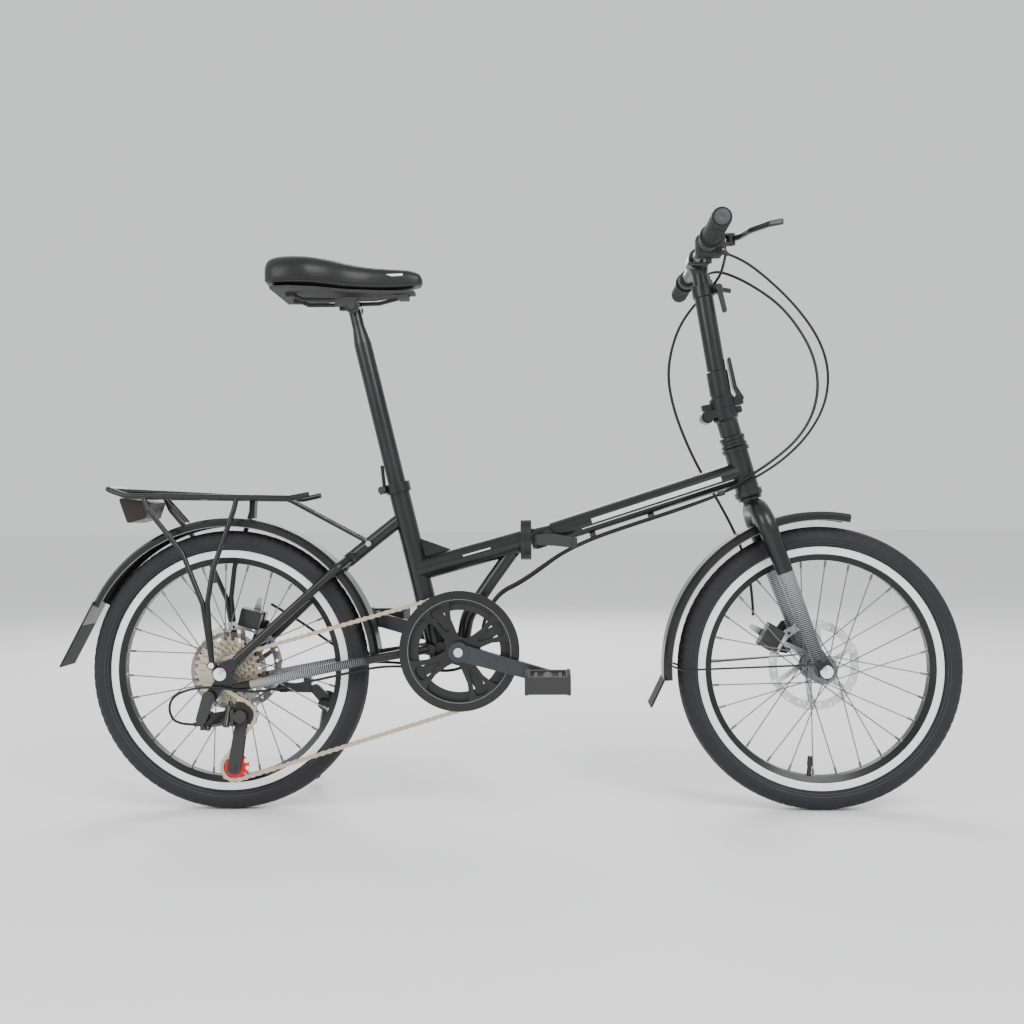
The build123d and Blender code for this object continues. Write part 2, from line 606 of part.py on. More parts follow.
def make_wheel(name, axle, left_flange, right_flange, left_end, right_end, rotor_side, valve_angle, first_angle):
    save(f"{name}_tyre", *place_all([tyre_shape(), inner_tube(valve_angle)], axle))
    save(f"{name}_rim", *place_all([rim_shape(valve_angle)], axle))
    save(f"{name}_spokes", *place_all(spokes_shape(left_flange, right_flange, first_angle), axle))
    shell, bearings = hub_shape(left_flange, right_flange, left_end, right_end, rotor_side)
    save(f"{name}_hub", *place_all([shell] + bearings, axle))
    save(f"{name}_rotor", *place_all([rotor_shape(rotor_side)], axle))


REAR_LEFT_FLANGE = -30.0
REAR_RIGHT_FLANGE = 14.0
FRONT_LEFT_FLANGE = -24.0
FRONT_RIGHT_FLANGE = 29.0
PROTECTOR_RADIUS = 67.0


def make_axles():
    rear = [disc(REAR_AXLE, AXLE_RADIUS, -(REAR_DROPOUT + 19), REAR_DROPOUT + 19)]
    front = [disc(FRONT_AXLE, AXLE_RADIUS, -(FRONT_DROPOUT + 19), FRONT_DROPOUT + 19)]
    for parts, centre, half, sides in ((rear, REAR_AXLE, REAR_DROPOUT, (53.0, 62.0)), (front, FRONT_AXLE, FRONT_DROPOUT, (46.0, 44.0))):
        for s in (-1, 1):
            inner = sides[0] if s < 0 else sides[1]
            parts[0] = parts[0] + disc(centre, 8, s * (inner + 0.6), s * half)
            nut = Plane(origin=(centre.X, s * (half + 6), centre.Z), z_dir=RIGHT * s) * RegularPolygon(9, 6)
            parts[0] = parts[0] + extrude(nut, 9)
            parts[0] = parts[0] + disc(centre, 11, s * (half + 6), s * (half + 7.5))
    save("front_axle", front[0])
    return rear[0]


def make_spoke_protector():
    edge = PROTECTOR_RADIUS
    outline = [(18.0, 12.0), (18.0, 26), (17.2, edge), (18.4, edge), (19.2, 26), (19.2, 12.0)]
    shape = turned(Vector(0, 0, 0), RIGHT, outline)
    for k in range(10):
        shape = shape - disc(around(Vector(0, 0, 0), edge - 14, k * 36), 6, 10, 30)
    save("spoke_protector", *place_all([shape], REAR_AXLE))


# ---- Sprockets and chain ----

def pitch_radius(teeth):
    return PITCH / 2 / sin(pi / teeth)


ROLLER_RADIUS = 3.85
ROLLER_CLEARANCE = 0.3


def sprocket(teeth, centre, first_roller, side, thick, inner, in_mesh=True):
    """A toothed disc whose gaps lie at the rollers' places, the first at first_roller degrees."""
    pr = pitch_radius(teeth)
    wheel = Circle(pr + 2.6) - Circle(inner)
    gaps = []
    for k in range(teeth):
        angle = radians(first_roller + k * 360 / teeth)
        gaps.append(Pos(-pr * cos(angle), pr * sin(angle)) * Circle(ROLLER_RADIUS + ROLLER_CLEARANCE))
    for k in range(LINKS if in_mesh else 0):
        a, u = chain_point(PIECES, RUN_STEP, k)
        x, y = at(a, u).X - centre.X, u - centre.Z
        nearest = round((degrees(atan2(y, -x)) - first_roller) * teeth / 360) * 360 / teeth + first_roller
        off = hypot(x + pr * cos(radians(nearest)), y - pr * sin(radians(nearest)))
        if 0.1 < off and hypot(x, y) < pr + 6:
            gaps.append(Pos(x, y) * Circle(ROLLER_RADIUS))
    view = Plane(origin=(centre.X, side + thick / 2, centre.Z), x_dir=(1, 0, 0), z_dir=(0, -1, 0))
    return extrude(view * (wheel - gaps), thick)


def tangent(ca, ra, cb, rb):
    """Where a straight run touches two circles. A radius is positive where the run lies to the
    left of the centre when looking along it in the side view (ahead, up)."""
    dx, dz = cb[0] - ca[0], cb[1] - ca[1]
    far = hypot(dx, dz)
    base = atan2(dz, dx)
    turn = asin_safe((ra - rb) / far)
    nx, nz = -sin(base + turn * -1), cos(base + turn * -1)
    return (ca[0] + ra * nx, ca[1] + ra * nz), (cb[0] + rb * nx, cb[1] + rb * nz)


def asin_safe(x):
    return atan2(x, sqrt(1 - x * x))


# Circles that the chain runs round, in order: centre, teeth, +1 where the chain runs
# clockwise seen from the right and -1 where it runs the other way.
CHAIN_CIRCLES = [
    ((BRACKET_AHEAD, BRACKET_UP), RING_TEETH, 1),
    ((TENSION_AHEAD, TYRE_RADIUS - TENSION_DOWN), PULLEY_TEETH, 1),
    ((GUIDE_AHEAD, TYRE_RADIUS - GUIDE_DOWN), PULLEY_TEETH, -1),
    ((0.0, TYRE_RADIUS), COGS[0], 1),
]


def chain_pieces():
    """The pitch line as runs and arcs: ("run", a, b) and ("arc", centre, teeth, start, sweep)."""
    count = len(CHAIN_CIRCLES)
    runs = []
    for k in range(count):
        ca, ra, sa = CHAIN_CIRCLES[k]
        cb, rb, sb = CHAIN_CIRCLES[(k + 1) % count]
        # travelling clockwise, the centre is on the right, so the run is on the left
        runs.append(tangent(ca, pitch_radius(ra) * sa, cb, pitch_radius(rb) * sb))
    pieces = []
    for k in range(count):
        centre, teeth, sense = CHAIN_CIRCLES[(k + 1) % count]
        pieces.append(("run", runs[k][0], runs[k][1]))
        entry = runs[k][1]
        leave = runs[(k + 1) % count][0]
        a0 = atan2(entry[1] - centre[1], entry[0] - centre[0])
        a1 = atan2(leave[1] - centre[1], leave[0] - centre[0])
        sweep_angle = (a1 - a0) % (2 * pi)
        if sense > 0:
            sweep_angle -= 2 * pi
        pieces.append(("arc", centre, teeth, a0, sweep_angle))
    return pieces


def run_length(piece):
    return hypot(piece[2][0] - piece[1][0], piece[2][1] - piece[1][1])


def links_in(piece, run_step):
    """How many links lie along a piece: whole teeth's worth on a sprocket."""
    if piece[0] == "run":
        return run_length(piece) / run_step
    return abs(piece[4]) * piece[2] / (2 * pi)


def chain_point(pieces, run_step, place):
    """The point of the pitch line that lies a number of links from its start."""
    for piece in pieces:
        far = links_in(piece, run_step)
        if place <= far:
            share = place / far
            if piece[0] == "run":
                a, b = piece[1], piece[2]
                return a[0] + (b[0] - a[0]) * share, a[1] + (b[1] - a[1]) * share
            angle = piece[3] + piece[4] * share
            radius = pitch_radius(piece[2])
            return piece[1][0] + radius * cos(angle), piece[1][1] + radius * sin(angle)
        place -= far
    return chain_point(pieces, run_step, 0)


def band(pieces, half, side_a, side_b):
    """A closed strip that follows the pitch line, half its height to each side."""
    edges = []
    for offset in (half, -half):
        wire = []
        for piece in pieces:
            if piece[0] == "run":
                a, b = piece[1], piece[2]
                heading = atan2(b[1] - a[1], b[0] - a[0])
                nx, nz = -sin(heading) * offset, cos(heading) * offset
                wire.append(Line(at(a[0] + nx, a[1] + nz), at(b[0] + nx, b[1] + nz)))
            else:
                centre, teeth, a0, turn = piece[1:]
                r = pitch_radius(teeth) + (offset if turn < 0 else -offset)
                spots = [a0, a0 + turn / 2, a0 + turn]
                points = [at(centre[0] + r * cos(t), centre[1] + r * sin(t)) for t in spots]
                wire.append(ThreePointArc(*points))
        edges.append(Wire([e for w in wire for e in w.edges()]))
    face_a, face_b = Face(edges[0]), Face(edges[1])
    big, small = (face_a, face_b) if face_a.area > face_b.area else (face_b, face_a)
    ring = Face(big.outer_wire(), [small.outer_wire()])
    return Pos(0, side_a, 0) * extrude(ring, side_b - side_a, dir=RIGHT)


PIECES = chain_pieces()
ARC_LINKS = sum(links_in(p, PITCH) for p in PIECES if p[0] == "arc")
RUN_TOTAL = sum(run_length(p) for p in PIECES if p[0] == "run")
LINKS = round(ARC_LINKS + RUN_TOTAL / PITCH)
RUN_STEP = RUN_TOTAL / (LINKS - ARC_LINKS)


def first_roller(circle):
    """The angle of a roller on one of the chain's circles, near the middle of its wrap."""
    start = 0.0
    for k, piece in enumerate(PIECES):
        far = links_in(piece, RUN_STEP)
        if piece[0] == "arc" and piece[1] == CHAIN_CIRCLES[circle][0]:
            near = round(start + far / 2)
            return degrees(piece[3] + piece[4] * (near - start) / far)
        start += far
    raise ValueError("the chain doesn't run round this circle")


def make_chain():
    inner, outer = 2.9, 3.8
    strips = [band(PIECES, 3.9, CHAIN_SIDE + inner, CHAIN_SIDE + outer),
              band(PIECES, 3.9, CHAIN_SIDE - outer, CHAIN_SIDE - inner)]
    whole = strips[0] + strips[1]
    rollers = []
    for k in range(LINKS):
        a, u = chain_point(PIECES, RUN_STEP, k)
        rollers.append(rod(at(a, u, CHAIN_SIDE - inner - 0.5), at(a, u, CHAIN_SIDE + inner + 0.5), ROLLER_RADIUS - 0.2))
    save("chain", whole.fuse(*rollers))
    print(f"chain: {LINKS} links, {RUN_STEP:.3f} apart on the straight runs")


def make_cassette():
    parts = []
    inner = 19.0
    for k, teeth in enumerate(COGS):
        phase = first_roller(3) if k == 0 else 5.0 * k
        side = CHAIN_SIDE - k * COG_SPACING
        parts.append(sprocket(teeth, REAR_AXLE, phase, side, 1.9, min(inner, pitch_radius(teeth) - 7), k == 0))
        if k:
            parts.append(disc(REAR_AXLE, 20.5 if k > 1 else 18.2, side + 0.95, side + COG_SPACING - 0.95,
                              inner=15.4 if k > 1 else 13.9))
    core = turned(REAR_AXLE, RIGHT, [(19.5, 7.0), (19.5, 15.4), (47.95, 15.4), (47.95, 13.9), (55.5, 13.9), (55.5, 7.0)])
    save("cassette", *(parts + [core]))


# ---- Cranks, guard and pedals ----

def crank_point(distance, angle_offset=0.0, side=0.0):
    return around(CRANK, distance, -CRANK_ANGLE + angle_offset, side)


ARM_INNER = 63.5
ARM_OUTER = 76.0


def make_cranks():
    for name, s, offset in (("right_crank", 1, 0.0), ("left_crank", -1, 180.0)):
        boss = disc(CRANK, 17, s * (ARM_INNER - 1.5), s * (ARM_OUTER + 2))
        end = crank_point(CRANK_LENGTH, offset)
        arm = link(CRANK, end, 14.5, 12.0, s * ARM_INNER, s * ARM_OUTER)
        hole = disc(end, 7.0 + RUN_CLEARANCE, s * (ARM_INNER - 5), s * (ARM_OUTER + 5))
        shape = arm + boss - hole
        if s > 0:
            cover = disc(CRANK, 9, ARM_OUTER + 2, ARM_OUTER + 4)
            shape = shape + cover - disc(CRANK, 7.5, ARM_INNER - 5, ARM_INNER + 8)
            save(name, shape)
        else:
            axle = disc(CRANK, 8, -ARM_INNER, ARM_INNER - 1.6) + disc(CRANK, 7.5, ARM_INNER - 1.6, ARM_INNER + 8)
            save(name, shape - disc(CRANK, 8, -ARM_INNER - 1, 0), axle)


def make_chainring():
    ring = sprocket(RING_TEETH, CRANK, first_roller(0), CHAIN_SIDE, 2.2, 76)
    spider = disc(CRANK, 80, CHAIN_SIDE + 1.1, CHAIN_SIDE + 3.1, inner=70)
    for k in range(4):
        angle = CRANK_ANGLE * -1 + 45 + 90 * k
        spider = spider + link(CRANK, around(CRANK, 74, angle), 12, 8, CHAIN_SIDE + 1.1, CHAIN_SIDE + 3.1)
    spider = spider - disc(CRANK, 8.1, 40, 70)

    low, high = CHAIN_SIDE + 4.6, CHAIN_SIDE + 8.6
    rim = disc(CRANK, GUARD_RADIUS, low, high, inner=GUARD_RADIUS - 17)
    hub = disc(CRANK, 24, low, high + 1)
    guard = rim + hub
    for k in range(4):
        angle = -CRANK_ANGLE + 45 + 90 * k
        spoke = guard_spoke(angle, low, high)
        guard = guard + spoke
    guard = guard - disc(CRANK, 8.1, 40, 75)
    bolts = [disc(around(CRANK, 74, -CRANK_ANGLE + 45 + 90 * k), 4, CHAIN_SIDE + 3.1, low) for k in range(4)]
    save("chainring", ring + spider)
    save("chain_guard", guard, *bolts)


def guard_spoke(angle, low, high):
    """A flared spoke of the chain guard, with a long slot."""
    def local(r, across):
        t = radians(angle)
        return Vector(CRANK.X - r * cos(t) + across * sin(t), low, CRANK.Z + r * sin(t) + across * cos(t))

    outline = [(14, -13), (30, -12), (55, -15), (76, -24), (90, -36), (90, 36), (76, 24), (55, 15), (30, 12), (14, 13)]
    slot = [(40, -3.5), (78, -13), (83, -8), (84, 0), (83, 8), (78, 13), (40, 3.5), (36, 0)]
    shapes = []
    for points, extra in ((outline, 0), (slot, 2)):
        face = make_face(Polyline(*[local(r, a) - RIGHT * extra for r, a in points], close=True))
        shapes.append(extrude(face, high - low + 2 * extra, dir=RIGHT))
    cut = disc(CRANK, GUARD_RADIUS - 1, low - 1, high + 1)
    return (shapes[0] & cut) - shapes[1]


def make_pedal(name, s, offset):
    """A resin platform pedal; its spindle screws into the crank arm."""
    centre = crank_point(CRANK_LENGTH, offset)
    mid = s * PEDAL_SIDE
    near, far = mid - s * PEDAL_WIDTH / 2, mid + s * PEDAL_WIDTH / 2
    place = Vector(centre.X, mid, centre.Z)
    core = disc(centre, 12, near, far)
    frame = Location(place) * (Box(PEDAL_LENGTH, PEDAL_WIDTH, PEDAL_HEIGHT) - Box(PEDAL_LENGTH - 16, PEDAL_WIDTH - 18, PEDAL_HEIGHT + 2))
    ribs = [Location(place + Vector(dx, 0, 0)) * Box(5, PEDAL_WIDTH, PEDAL_HEIGHT - 6) for dx in (-20, 20)]
    cross = [Location(place + Vector(0, dy, 0)) * Box(PEDAL_LENGTH, 5, PEDAL_HEIGHT - 8) for dy in (-22, 0, 22)]
    body = frame + core
    for piece in ribs + cross:
        body = body + piece
    teeth = []
    for edge in (-1, 1):
        for face in (-1, 1):
            for k in range(6):
                y = (k - 2.5) * 15
                teeth.append(Location(place + Vector(edge * (PEDAL_LENGTH / 2 - 3), y, face * PEDAL_HEIGHT / 2)) * Box(6, 7, 4))
    for tooth in teeth:
        body = body + tooth
    bore = disc(centre, 7.0, near - s * 10, far - s * 12)
    body = body - bore
    spindle = disc(centre, 7.0, s * (ARM_OUTER - 12), far - s * 12.2)
    collar = disc(centre, 9.5, s * (ARM_OUTER + GAP), near - s * 0.2)
    save(name, body, spindle + collar)


# ---- Rear derailleur ----

GUIDE = REAR_AXLE + AHEAD * GUIDE_AHEAD - UP * GUIDE_DOWN
TENSION = REAR_AXLE + AHEAD * TENSION_AHEAD - UP * TENSION_DOWN
LINK_REACH = 40.0
LINK_LEAN = 24.0
SHIFT_ALONG = Vector(0, -cos(radians(30)), -sin(radians(30)))   # inwards and down
LINK_AXIS = AHEAD.cross(SHIFT_ALONG)
CAGE_AXLE = GUIDE              # the cage turns about the guide pulley's axle
LINK_END = at(12, TYRE_RADIUS - 74, CHAIN_SIDE + 17)
LINK_START = LINK_END - AHEAD * LINK_REACH * cos(radians(LINK_LEAN)) + SHIFT_ALONG * LINK_REACH * sin(radians(LINK_LEAN))


BARREL_END = LINK_START - AHEAD * 26 - UP * 6


def boss_along(centre, direction, low, high, radius):
    return rod(centre + direction * low, centre + direction * high, radius)


def make_derailleur():
    axis = LINK_AXIS
    fork_low, fork_high = -11.0, 11.0
    # mount knuckle, screwed to the hanger
    bolt_head = disc(HANGER_BOLT, 8, REAR_DROPOUT + 6, REAR_DROPOUT + 15)
    shank = disc(HANGER_BOLT, 5.0, REAR_DROPOUT + 0.5, REAR_DROPOUT + 8)
    low_end = LINK_START + AHEAD * -6
    arm = link(HANGER_BOLT, Vector(low_end.X, 0, low_end.Z + 6), 11, 9, REAR_DROPOUT + 7, REAR_DROPOUT + 14)
    lugs = [boss_along(LINK_START, axis, fork_low - 5, fork_low - GAP, 6), boss_along(LINK_START, axis, fork_high + GAP, fork_high + 5, 6)]
    back = Location(LINK_START + AHEAD * -9 + RIGHT * 0, (0, 0, 0)) * Box(7, 16, 30)
    pin = boss_along(LINK_START, axis, fork_low - 5, fork_high + 5, 2.0)
    barrel = rod(LINK_START + AHEAD * -11 - UP * 6, BARREL_END, 3.6)
    knuckle_body = bolt_head + shank + arm + back + lugs[0] + lugs[1] + pin + barrel
    save("derailleur_mount", knuckle_body)

    # outer link
    plate = rod_hull(LINK_START, LINK_END, axis, fork_low, fork_high, 5.5)
    plate = plate - boss_along(LINK_START, axis, -30, 30, 2.0 + RUN_CLEARANCE)
    plate = plate - boss_along(LINK_END, axis, -30, 30, 2.0 + RUN_CLEARANCE)
    save("derailleur_link", plate)

    # cage knuckle
    ends = [boss_along(LINK_END, axis, fork_low - 5, fork_low - GAP, 6), boss_along(LINK_END, axis, fork_high + GAP, fork_high + 5, 6)]
    wall = Location(LINK_END + AHEAD * 9.5) * Box(6, 14, 28)
    drum = disc(CAGE_AXLE, 11, CHAIN_SIDE + 9.5, CHAIN_SIDE + 24)
    pin_b = boss_along(LINK_END, axis, fork_low - 5, fork_high + 5, 2.0)
    cage_pin = disc(CAGE_AXLE, 4, CHAIN_SIDE + 5.6, CHAIN_SIDE + 10)
    save("derailleur_knuckle", ends[0] + ends[1] + wall + drum + pin_b + cage_pin)

    # cage: two plates with the pulley bolts
    outer = link(GUIDE, TENSION, 10, 11, CHAIN_SIDE + 5.5, CHAIN_SIDE + 7.5)
    outer = outer - disc(CAGE_AXLE, 4 + RUN_CLEARANCE, CHAIN_SIDE, CHAIN_SIDE + 20)
    inner = link(GUIDE, TENSION, 8, 11, CHAIN_SIDE - 7.5, CHAIN_SIDE - 5.8)
    low_bolt = disc(TENSION, 2.5, CHAIN_SIDE - 8.5, CHAIN_SIDE + 9) + disc(TENSION, 4, CHAIN_SIDE + 7.5, CHAIN_SIDE + 9.2)
    high_bolt = disc(GUIDE, 2.5, CHAIN_SIDE - 8.5, CHAIN_SIDE + 5.3) + disc(GUIDE, 4, CHAIN_SIDE - 9, CHAIN_SIDE - 7.5)
    save("derailleur_cage", outer + inner + low_bolt + high_bolt)
    for name, centre, circle in (("guide_pulley", GUIDE, 2), ("tension_pulley", TENSION, 1)):
        wheel = sprocket(PULLEY_TEETH, centre, first_roller(circle), CHAIN_SIDE, 2.4, 2.5 + RUN_CLEARANCE)
        hub = disc(centre, 6, CHAIN_SIDE - 5.5, CHAIN_SIDE + 5.2, inner=2.5 + RUN_CLEARANCE)
        save(name, wheel + hub)


def rod_hull(a, b, axis, low, high, radius):
    """A flat link between two parallel pins."""
    along = (b - a).normalized()
    plane = Plane(origin=a + axis * low, x_dir=along, z_dir=axis)
    far = (b - a).length
    edges = Circle(radius).edges() + (Pos(far, 0) * Circle(radius)).edges()
    return extrude(plane * make_hull(edges), high - low)


# ---- Fork, stem base and handlepost ----

FORK_TOP_SIDE = 53.0
FORK_END_SIDE = 57.0
LEG_TOP_RADIUS = 17.0
LEG_END_RADIUS = 10.0


ARCH_AHEAD, ARCH_UP = 922.0, 523.0


def fork_leg(s):
    knee = at(934, 490, s * (FORK_TOP_SIDE - 0.3))
    return taper(knee, at(1022, 250, s * FORK_END_SIDE), LEG_TOP_RADIUS - 0.7, LEG_END_RADIUS)


def make_fork():
    body = rod(on_steering(-26), POST_BASE - HEAD_UP * 22, STEERER_RADIUS)
    arch = [at(937, 482, -FORK_TOP_SIDE), at(ARCH_AHEAD, ARCH_UP, -FORK_TOP_SIDE),
            at(ARCH_AHEAD, ARCH_UP, FORK_TOP_SIDE), at(937, 482, FORK_TOP_SIDE)]
    body = body + tube(arch, LEG_TOP_RADIUS, 38)
    for s in (-1, 1):
        body = body + fork_leg(s)
        tip = side_plate([(1008, 278), (1024, 282), (1042, 252), (1042, 238), (1031, 230), (1016, 238)],
                         s * FRONT_DROPOUT, s * (FRONT_DROPOUT + 6))
        body = body + tip
        body = body - disc(FRONT_AXLE, AXLE_RADIUS + 0.1, s * 40, s * 80)
        body = body - disc(FRONT_AXLE, 11.5, s * (FRONT_DROPOUT + 6), s * 90) - disc(FRONT_AXLE, 8.2, s * 30, s * FRONT_DROPOUT)
    tab = side_plate([(1008, 285), (985, 264), (962, 268), (960, 300), (976, 322), (996, 326)], -FRONT_DROPOUT - 0.5, -FRONT_DROPOUT - 5.5)
    tab = tab - calliper_block(FRONT_CALLIPER, FRONT_ROTOR_SIDE, FRONT_CALLIPER_TURN, FRONT_CALLIPER_DEPTH)
    race = rod(on_steering(-17), on_steering(-13.3), 20)
    body = body + tab + race
    save("fork", body)


def make_stem_base():
    """Top bearing cap, spacers and the lower half of the handlepost hinge."""
    r = STEERER_RADIUS
    cap_top = HEAD_LENGTH + 9 + GAP
    top = (POST_BASE - HEAD_BOTTOM).length
    outline = [(cap_top, r + 0.1), (cap_top, 22.5), (cap_top + 5, 22.5), (cap_top + 6, 20.5), (cap_top + 11, 20.5),
               (cap_top + 12, 22), (cap_top + 18, 22), (cap_top + 20, 18.5), (top - 24, 18.5), (top - 20, 22),
               (top - 12, 22), (top - 12, r + 0.1)]
    collar = turned(HEAD_BOTTOM, HEAD_UP, outline)
    block = rod(on_post(-14), on_post(-GAP / 2), 22)
    knuckles = [disc(POST_PIN, 11, 8 + GAP, 17), disc(POST_PIN, 11, -17, -8 - GAP)]
    arms = [bar(on_post(-9, s * 12.7, -16), 24, 8.4, 14, POST_ANGLE) for s in (-1, 1)]
    lug = bar(on_post(-7, 0, 24), 14, 12, 12, POST_ANGLE, 3)
    body = collar + block + knuckles[0] + knuckles[1] + arms[0] + arms[1] + lug
    body = body - rod(on_steering(0), on_steering(top - 19), r + 0.1)
    body = body - disc(POST_PIN, 12, -8 - GAP, 8 + GAP) - disc(POST_PIN, 3.55, -30, 30)
    above = Location(on_post(20), (0, POST_ANGLE, 0)) * Box(60, 80, 40 + GAP)
    knuckle_keep = [disc(POST_PIN, 11, 8 + GAP, 17), disc(POST_PIN, 11, -17, -8 - GAP)]
    body = (body - above) + knuckle_keep[0] + knuckle_keep[1] - disc(POST_PIN, 3.55, -30, 30)
    pin = disc(POST_PIN, 3.5, -20, 20) + disc(POST_PIN, 8, 17, 20) + disc(POST_PIN, 8, -20, -17)
    save("stem_base", body, pin)


POST_PIN = on_post(-12.0, 0.0, -31.0)
LATCH_POST_PIN = on_post(12.0, 0.0, 29.0)
SLEEVE_TOP = post_distance(761.0)
CLAMP_LOW = post_distance(POST_TOP_UP) - 8


def make_handlepost():
    top = post_distance(POST_TOP_UP)
    outline = [(GAP / 2, 0.01), (GAP / 2, 22), (16, 22), (22, 18.5), (SLEEVE_TOP, 18.5), (SLEEVE_TOP + 2, POST_RADIUS),
               (top - 14, POST_RADIUS), (top - 13, 19), (top + 6, 19), (top + 6, 0.01)]
    body = turned(POST_BASE, POST_UP, outline)
    ear = bar(on_post(3, 0, -24), 26, 16 - 2 * GAP, 14, POST_ANGLE) - Location(on_post(-20), (0, POST_ANGLE, 0)) * Box(100, 80, 40 + GAP)
    middle = disc(POST_PIN, 11, -8, 8) + bar(on_post(-2, 0, -27), 14, 15, 14, POST_ANGLE)
    middle = middle - rod(on_post(-60), on_post(GAP / 2), 23)
    latch_ears = [bar(on_post(8, s * 8, 24), 22, 5, 15, POST_ANGLE, 3) for s in (-1, 1)]
    clamp_ears = bar(on_post(top - 3, 0, 23), 16, 18, 16, POST_ANGLE, 3)
    body = body + ear + middle + latch_ears[0] + latch_ears[1] + clamp_ears
    bore = rod(on_post(24), on_post(top + 10), INNER_POST_RADIUS + POST_CLEARANCE)
    slot = bar(on_post(top - 10, 0, 24), 30, 2, 44, POST_ANGLE)
    body = body - bore - slot - disc(POST_PIN, 3.5 + RUN_CLEARANCE, -30, 30) - disc(LATCH_POST_PIN, 2.55, -20, 20)
    body = body - disc(clamp_bolt(), 2.6, -20, 20) - disc(LATCH_POST_PIN, 8.2, -5.5, 5.5)
    save("handlepost", body)


def clamp_bolt():
    return on_post(post_distance(POST_TOP_UP) - 3, 0, 26)


def make_post_levers():
    pin = disc(LATCH_POST_PIN, 2.5, -12, 12)
    boss = disc(LATCH_POST_PIN, 7.5, -5.2, 5.2)
    foot = on_post(12, 0, 33)
    knee = on_post(34, 0, 25.5)
    tip = on_post(82, 0, 23.5)
    blade = link(foot, knee, 5, 3.5, -5, 5) + link(knee, tip, 3.5, 3, -8, 8)
    save("post_latch", pin + boss + blade)

    centre = clamp_bolt()
    skewer = disc(centre, 2.5, -14, 15)
    nut = disc(centre, 5.5, -9 - GAP - 5, -9 - GAP)
    cam = disc(centre, 6, 9 + GAP, 19)
    tip = on_post(post_distance(POST_TOP_UP) - 44, 0, 29)
    blade = link(centre, tip, 4.5, 4, 12, 18)
    save("post_clamp_lever", skewer + nut + cam + blade)


BAR = on_post(post_distance(BAR_UP))


def bar_point(side, ahead=0.0, up=0.0):
    return BAR + RIGHT * side + AHEAD * ahead + UP * up


def make_bar():
    low = on_post(post_distance(POST_TOP_UP) - 165)
    tube_up = rod(low, BAR - POST_UP * 12, INNER_POST_RADIUS) - rod(low - POST_UP, BAR - POST_UP * 26, INNER_POST_RADIUS - 2)
    clamp = rod(BAR - RIGHT * 22, BAR + RIGHT * 22, BAR_CENTRE_RADIUS + 6)
    hole = rod(BAR - RIGHT * 40, BAR + RIGHT * 40, BAR_CENTRE_RADIUS)
    shoulder = taper(BAR - POST_UP * 24, BAR - POST_UP * 10, INNER_POST_RADIUS, 17)
    split = Location(bar_point(0, 14), (0, 0, 0)) * Box(24, 60, 2)
    bolts = [rod(bar_point(y, 12, -16), bar_point(y, 12, 17), 3) for y in (-14, 14)]
    body = tube_up + clamp + shoulder - hole - split + bolts[0] + bolts[1] - hole
    save("inner_post", body)

    outline = [(-BAR_HALF + 2, BAR_RADIUS - 2.2), (-BAR_HALF + 2, BAR_RADIUS), (-60, BAR_RADIUS), (-40, BAR_CENTRE_RADIUS),
               (40, BAR_CENTRE_RADIUS), (60, BAR_RADIUS), (BAR_HALF - 2, BAR_RADIUS), (BAR_HALF - 2, BAR_RADIUS - 2.2)]
    save("handlebar", turned(BAR, RIGHT, outline))
    grips = []
    for s in (-1, 1):
        start, end = s * (BAR_HALF - GRIP_LENGTH), s * BAR_HALF
        grip = disc(BAR, GRIP_RADIUS, start, end) - disc(BAR, BAR_RADIUS, start - s, s * (BAR_HALF - 2))
        flange = disc(BAR, GRIP_RADIUS + 3, start, start + s * 4, inner=BAR_RADIUS)
        grips.append(grip + flange)
    save("grips", *grips)


LEVER_SIDE = 150.0
LEVER_AHEAD = 34.0


def make_controls():
    brackets = []
    for s in (-1, 1):
        clamp = disc(BAR, BAR_RADIUS + 5, s * (LEVER_SIDE - 10), s * (LEVER_SIDE + 10), inner=BAR_RADIUS)
        arm = Location(bar_point(s * (LEVER_SIDE - 4), 21), (0, 0, 0)) * Box(22, 22, 15)
        pivot = [disc_up(lever_pivot(s), 7.5, 5 + GAP, 9), disc_up(lever_pivot(s), 7.5, -9, -5 - GAP)]
        cheeks = [Location(bar_point(s * LEVER_SIDE, 27, z)) * Box(16, 13, 3.4) for z in (-7.2, 7.2)]
        pin = disc_up(lever_pivot(s), 2.5, -10, 10)
        adjuster = rod(bar_point(s * (LEVER_SIDE - 12), 23), lever_exit(s), 4)
        sweep_room = Location(bar_point(s * (LEVER_SIDE + 4), 45)) * Box(41, 70, 10 + 2 * GAP)
        body = clamp + arm + cheeks[0] + cheeks[1] + pivot[0] + pivot[1] + adjuster - sweep_room + pin
        body = body + rod(bar_point(s * (LEVER_SIDE - 13), 22.5), lever_exit(s), 4)
        body = body - disc(BAR, BAR_RADIUS, s * 100, s * 200)
        brackets.append(body)
    pod = Location(bar_point(112, 4, -2)) * Box(44, 26, 36)
    pod = fillet(pod.edges(), 6) + rod(bar_point(107, 19, -7), POD_EXIT, 4) - disc(BAR, BAR_RADIUS, 60, 170)
    window = Location(bar_point(112, -6, 16.5), (0, 20, 0)) * Box(20, 14, 4)
    save("bar_controls", brackets[0], brackets[1], pod + window)
    shaft_foot = SHIFT_PIVOT - UP * 9
    thumb = rod(SHIFT_PIVOT - UP * GAP, shaft_foot, 5)
    paddle = Location(shaft_foot + Vector(18, 6, -2), (0, 0, 18)) * Box(34, 11, 4)
    save("shift_lever", thumb + fillet(paddle.edges(), 1.5))


SHIFT_PIVOT = bar_point(112, 4, -20)
POD_EXIT = bar_point(95, 37, -10)


def lever_exit(s):
    """Where the brake cable leaves its adjuster."""
    return bar_point(s * (LEVER_SIDE - 42), 30)


def lever_pivot(s):
    return bar_point(s * LEVER_SIDE, LEVER_AHEAD)


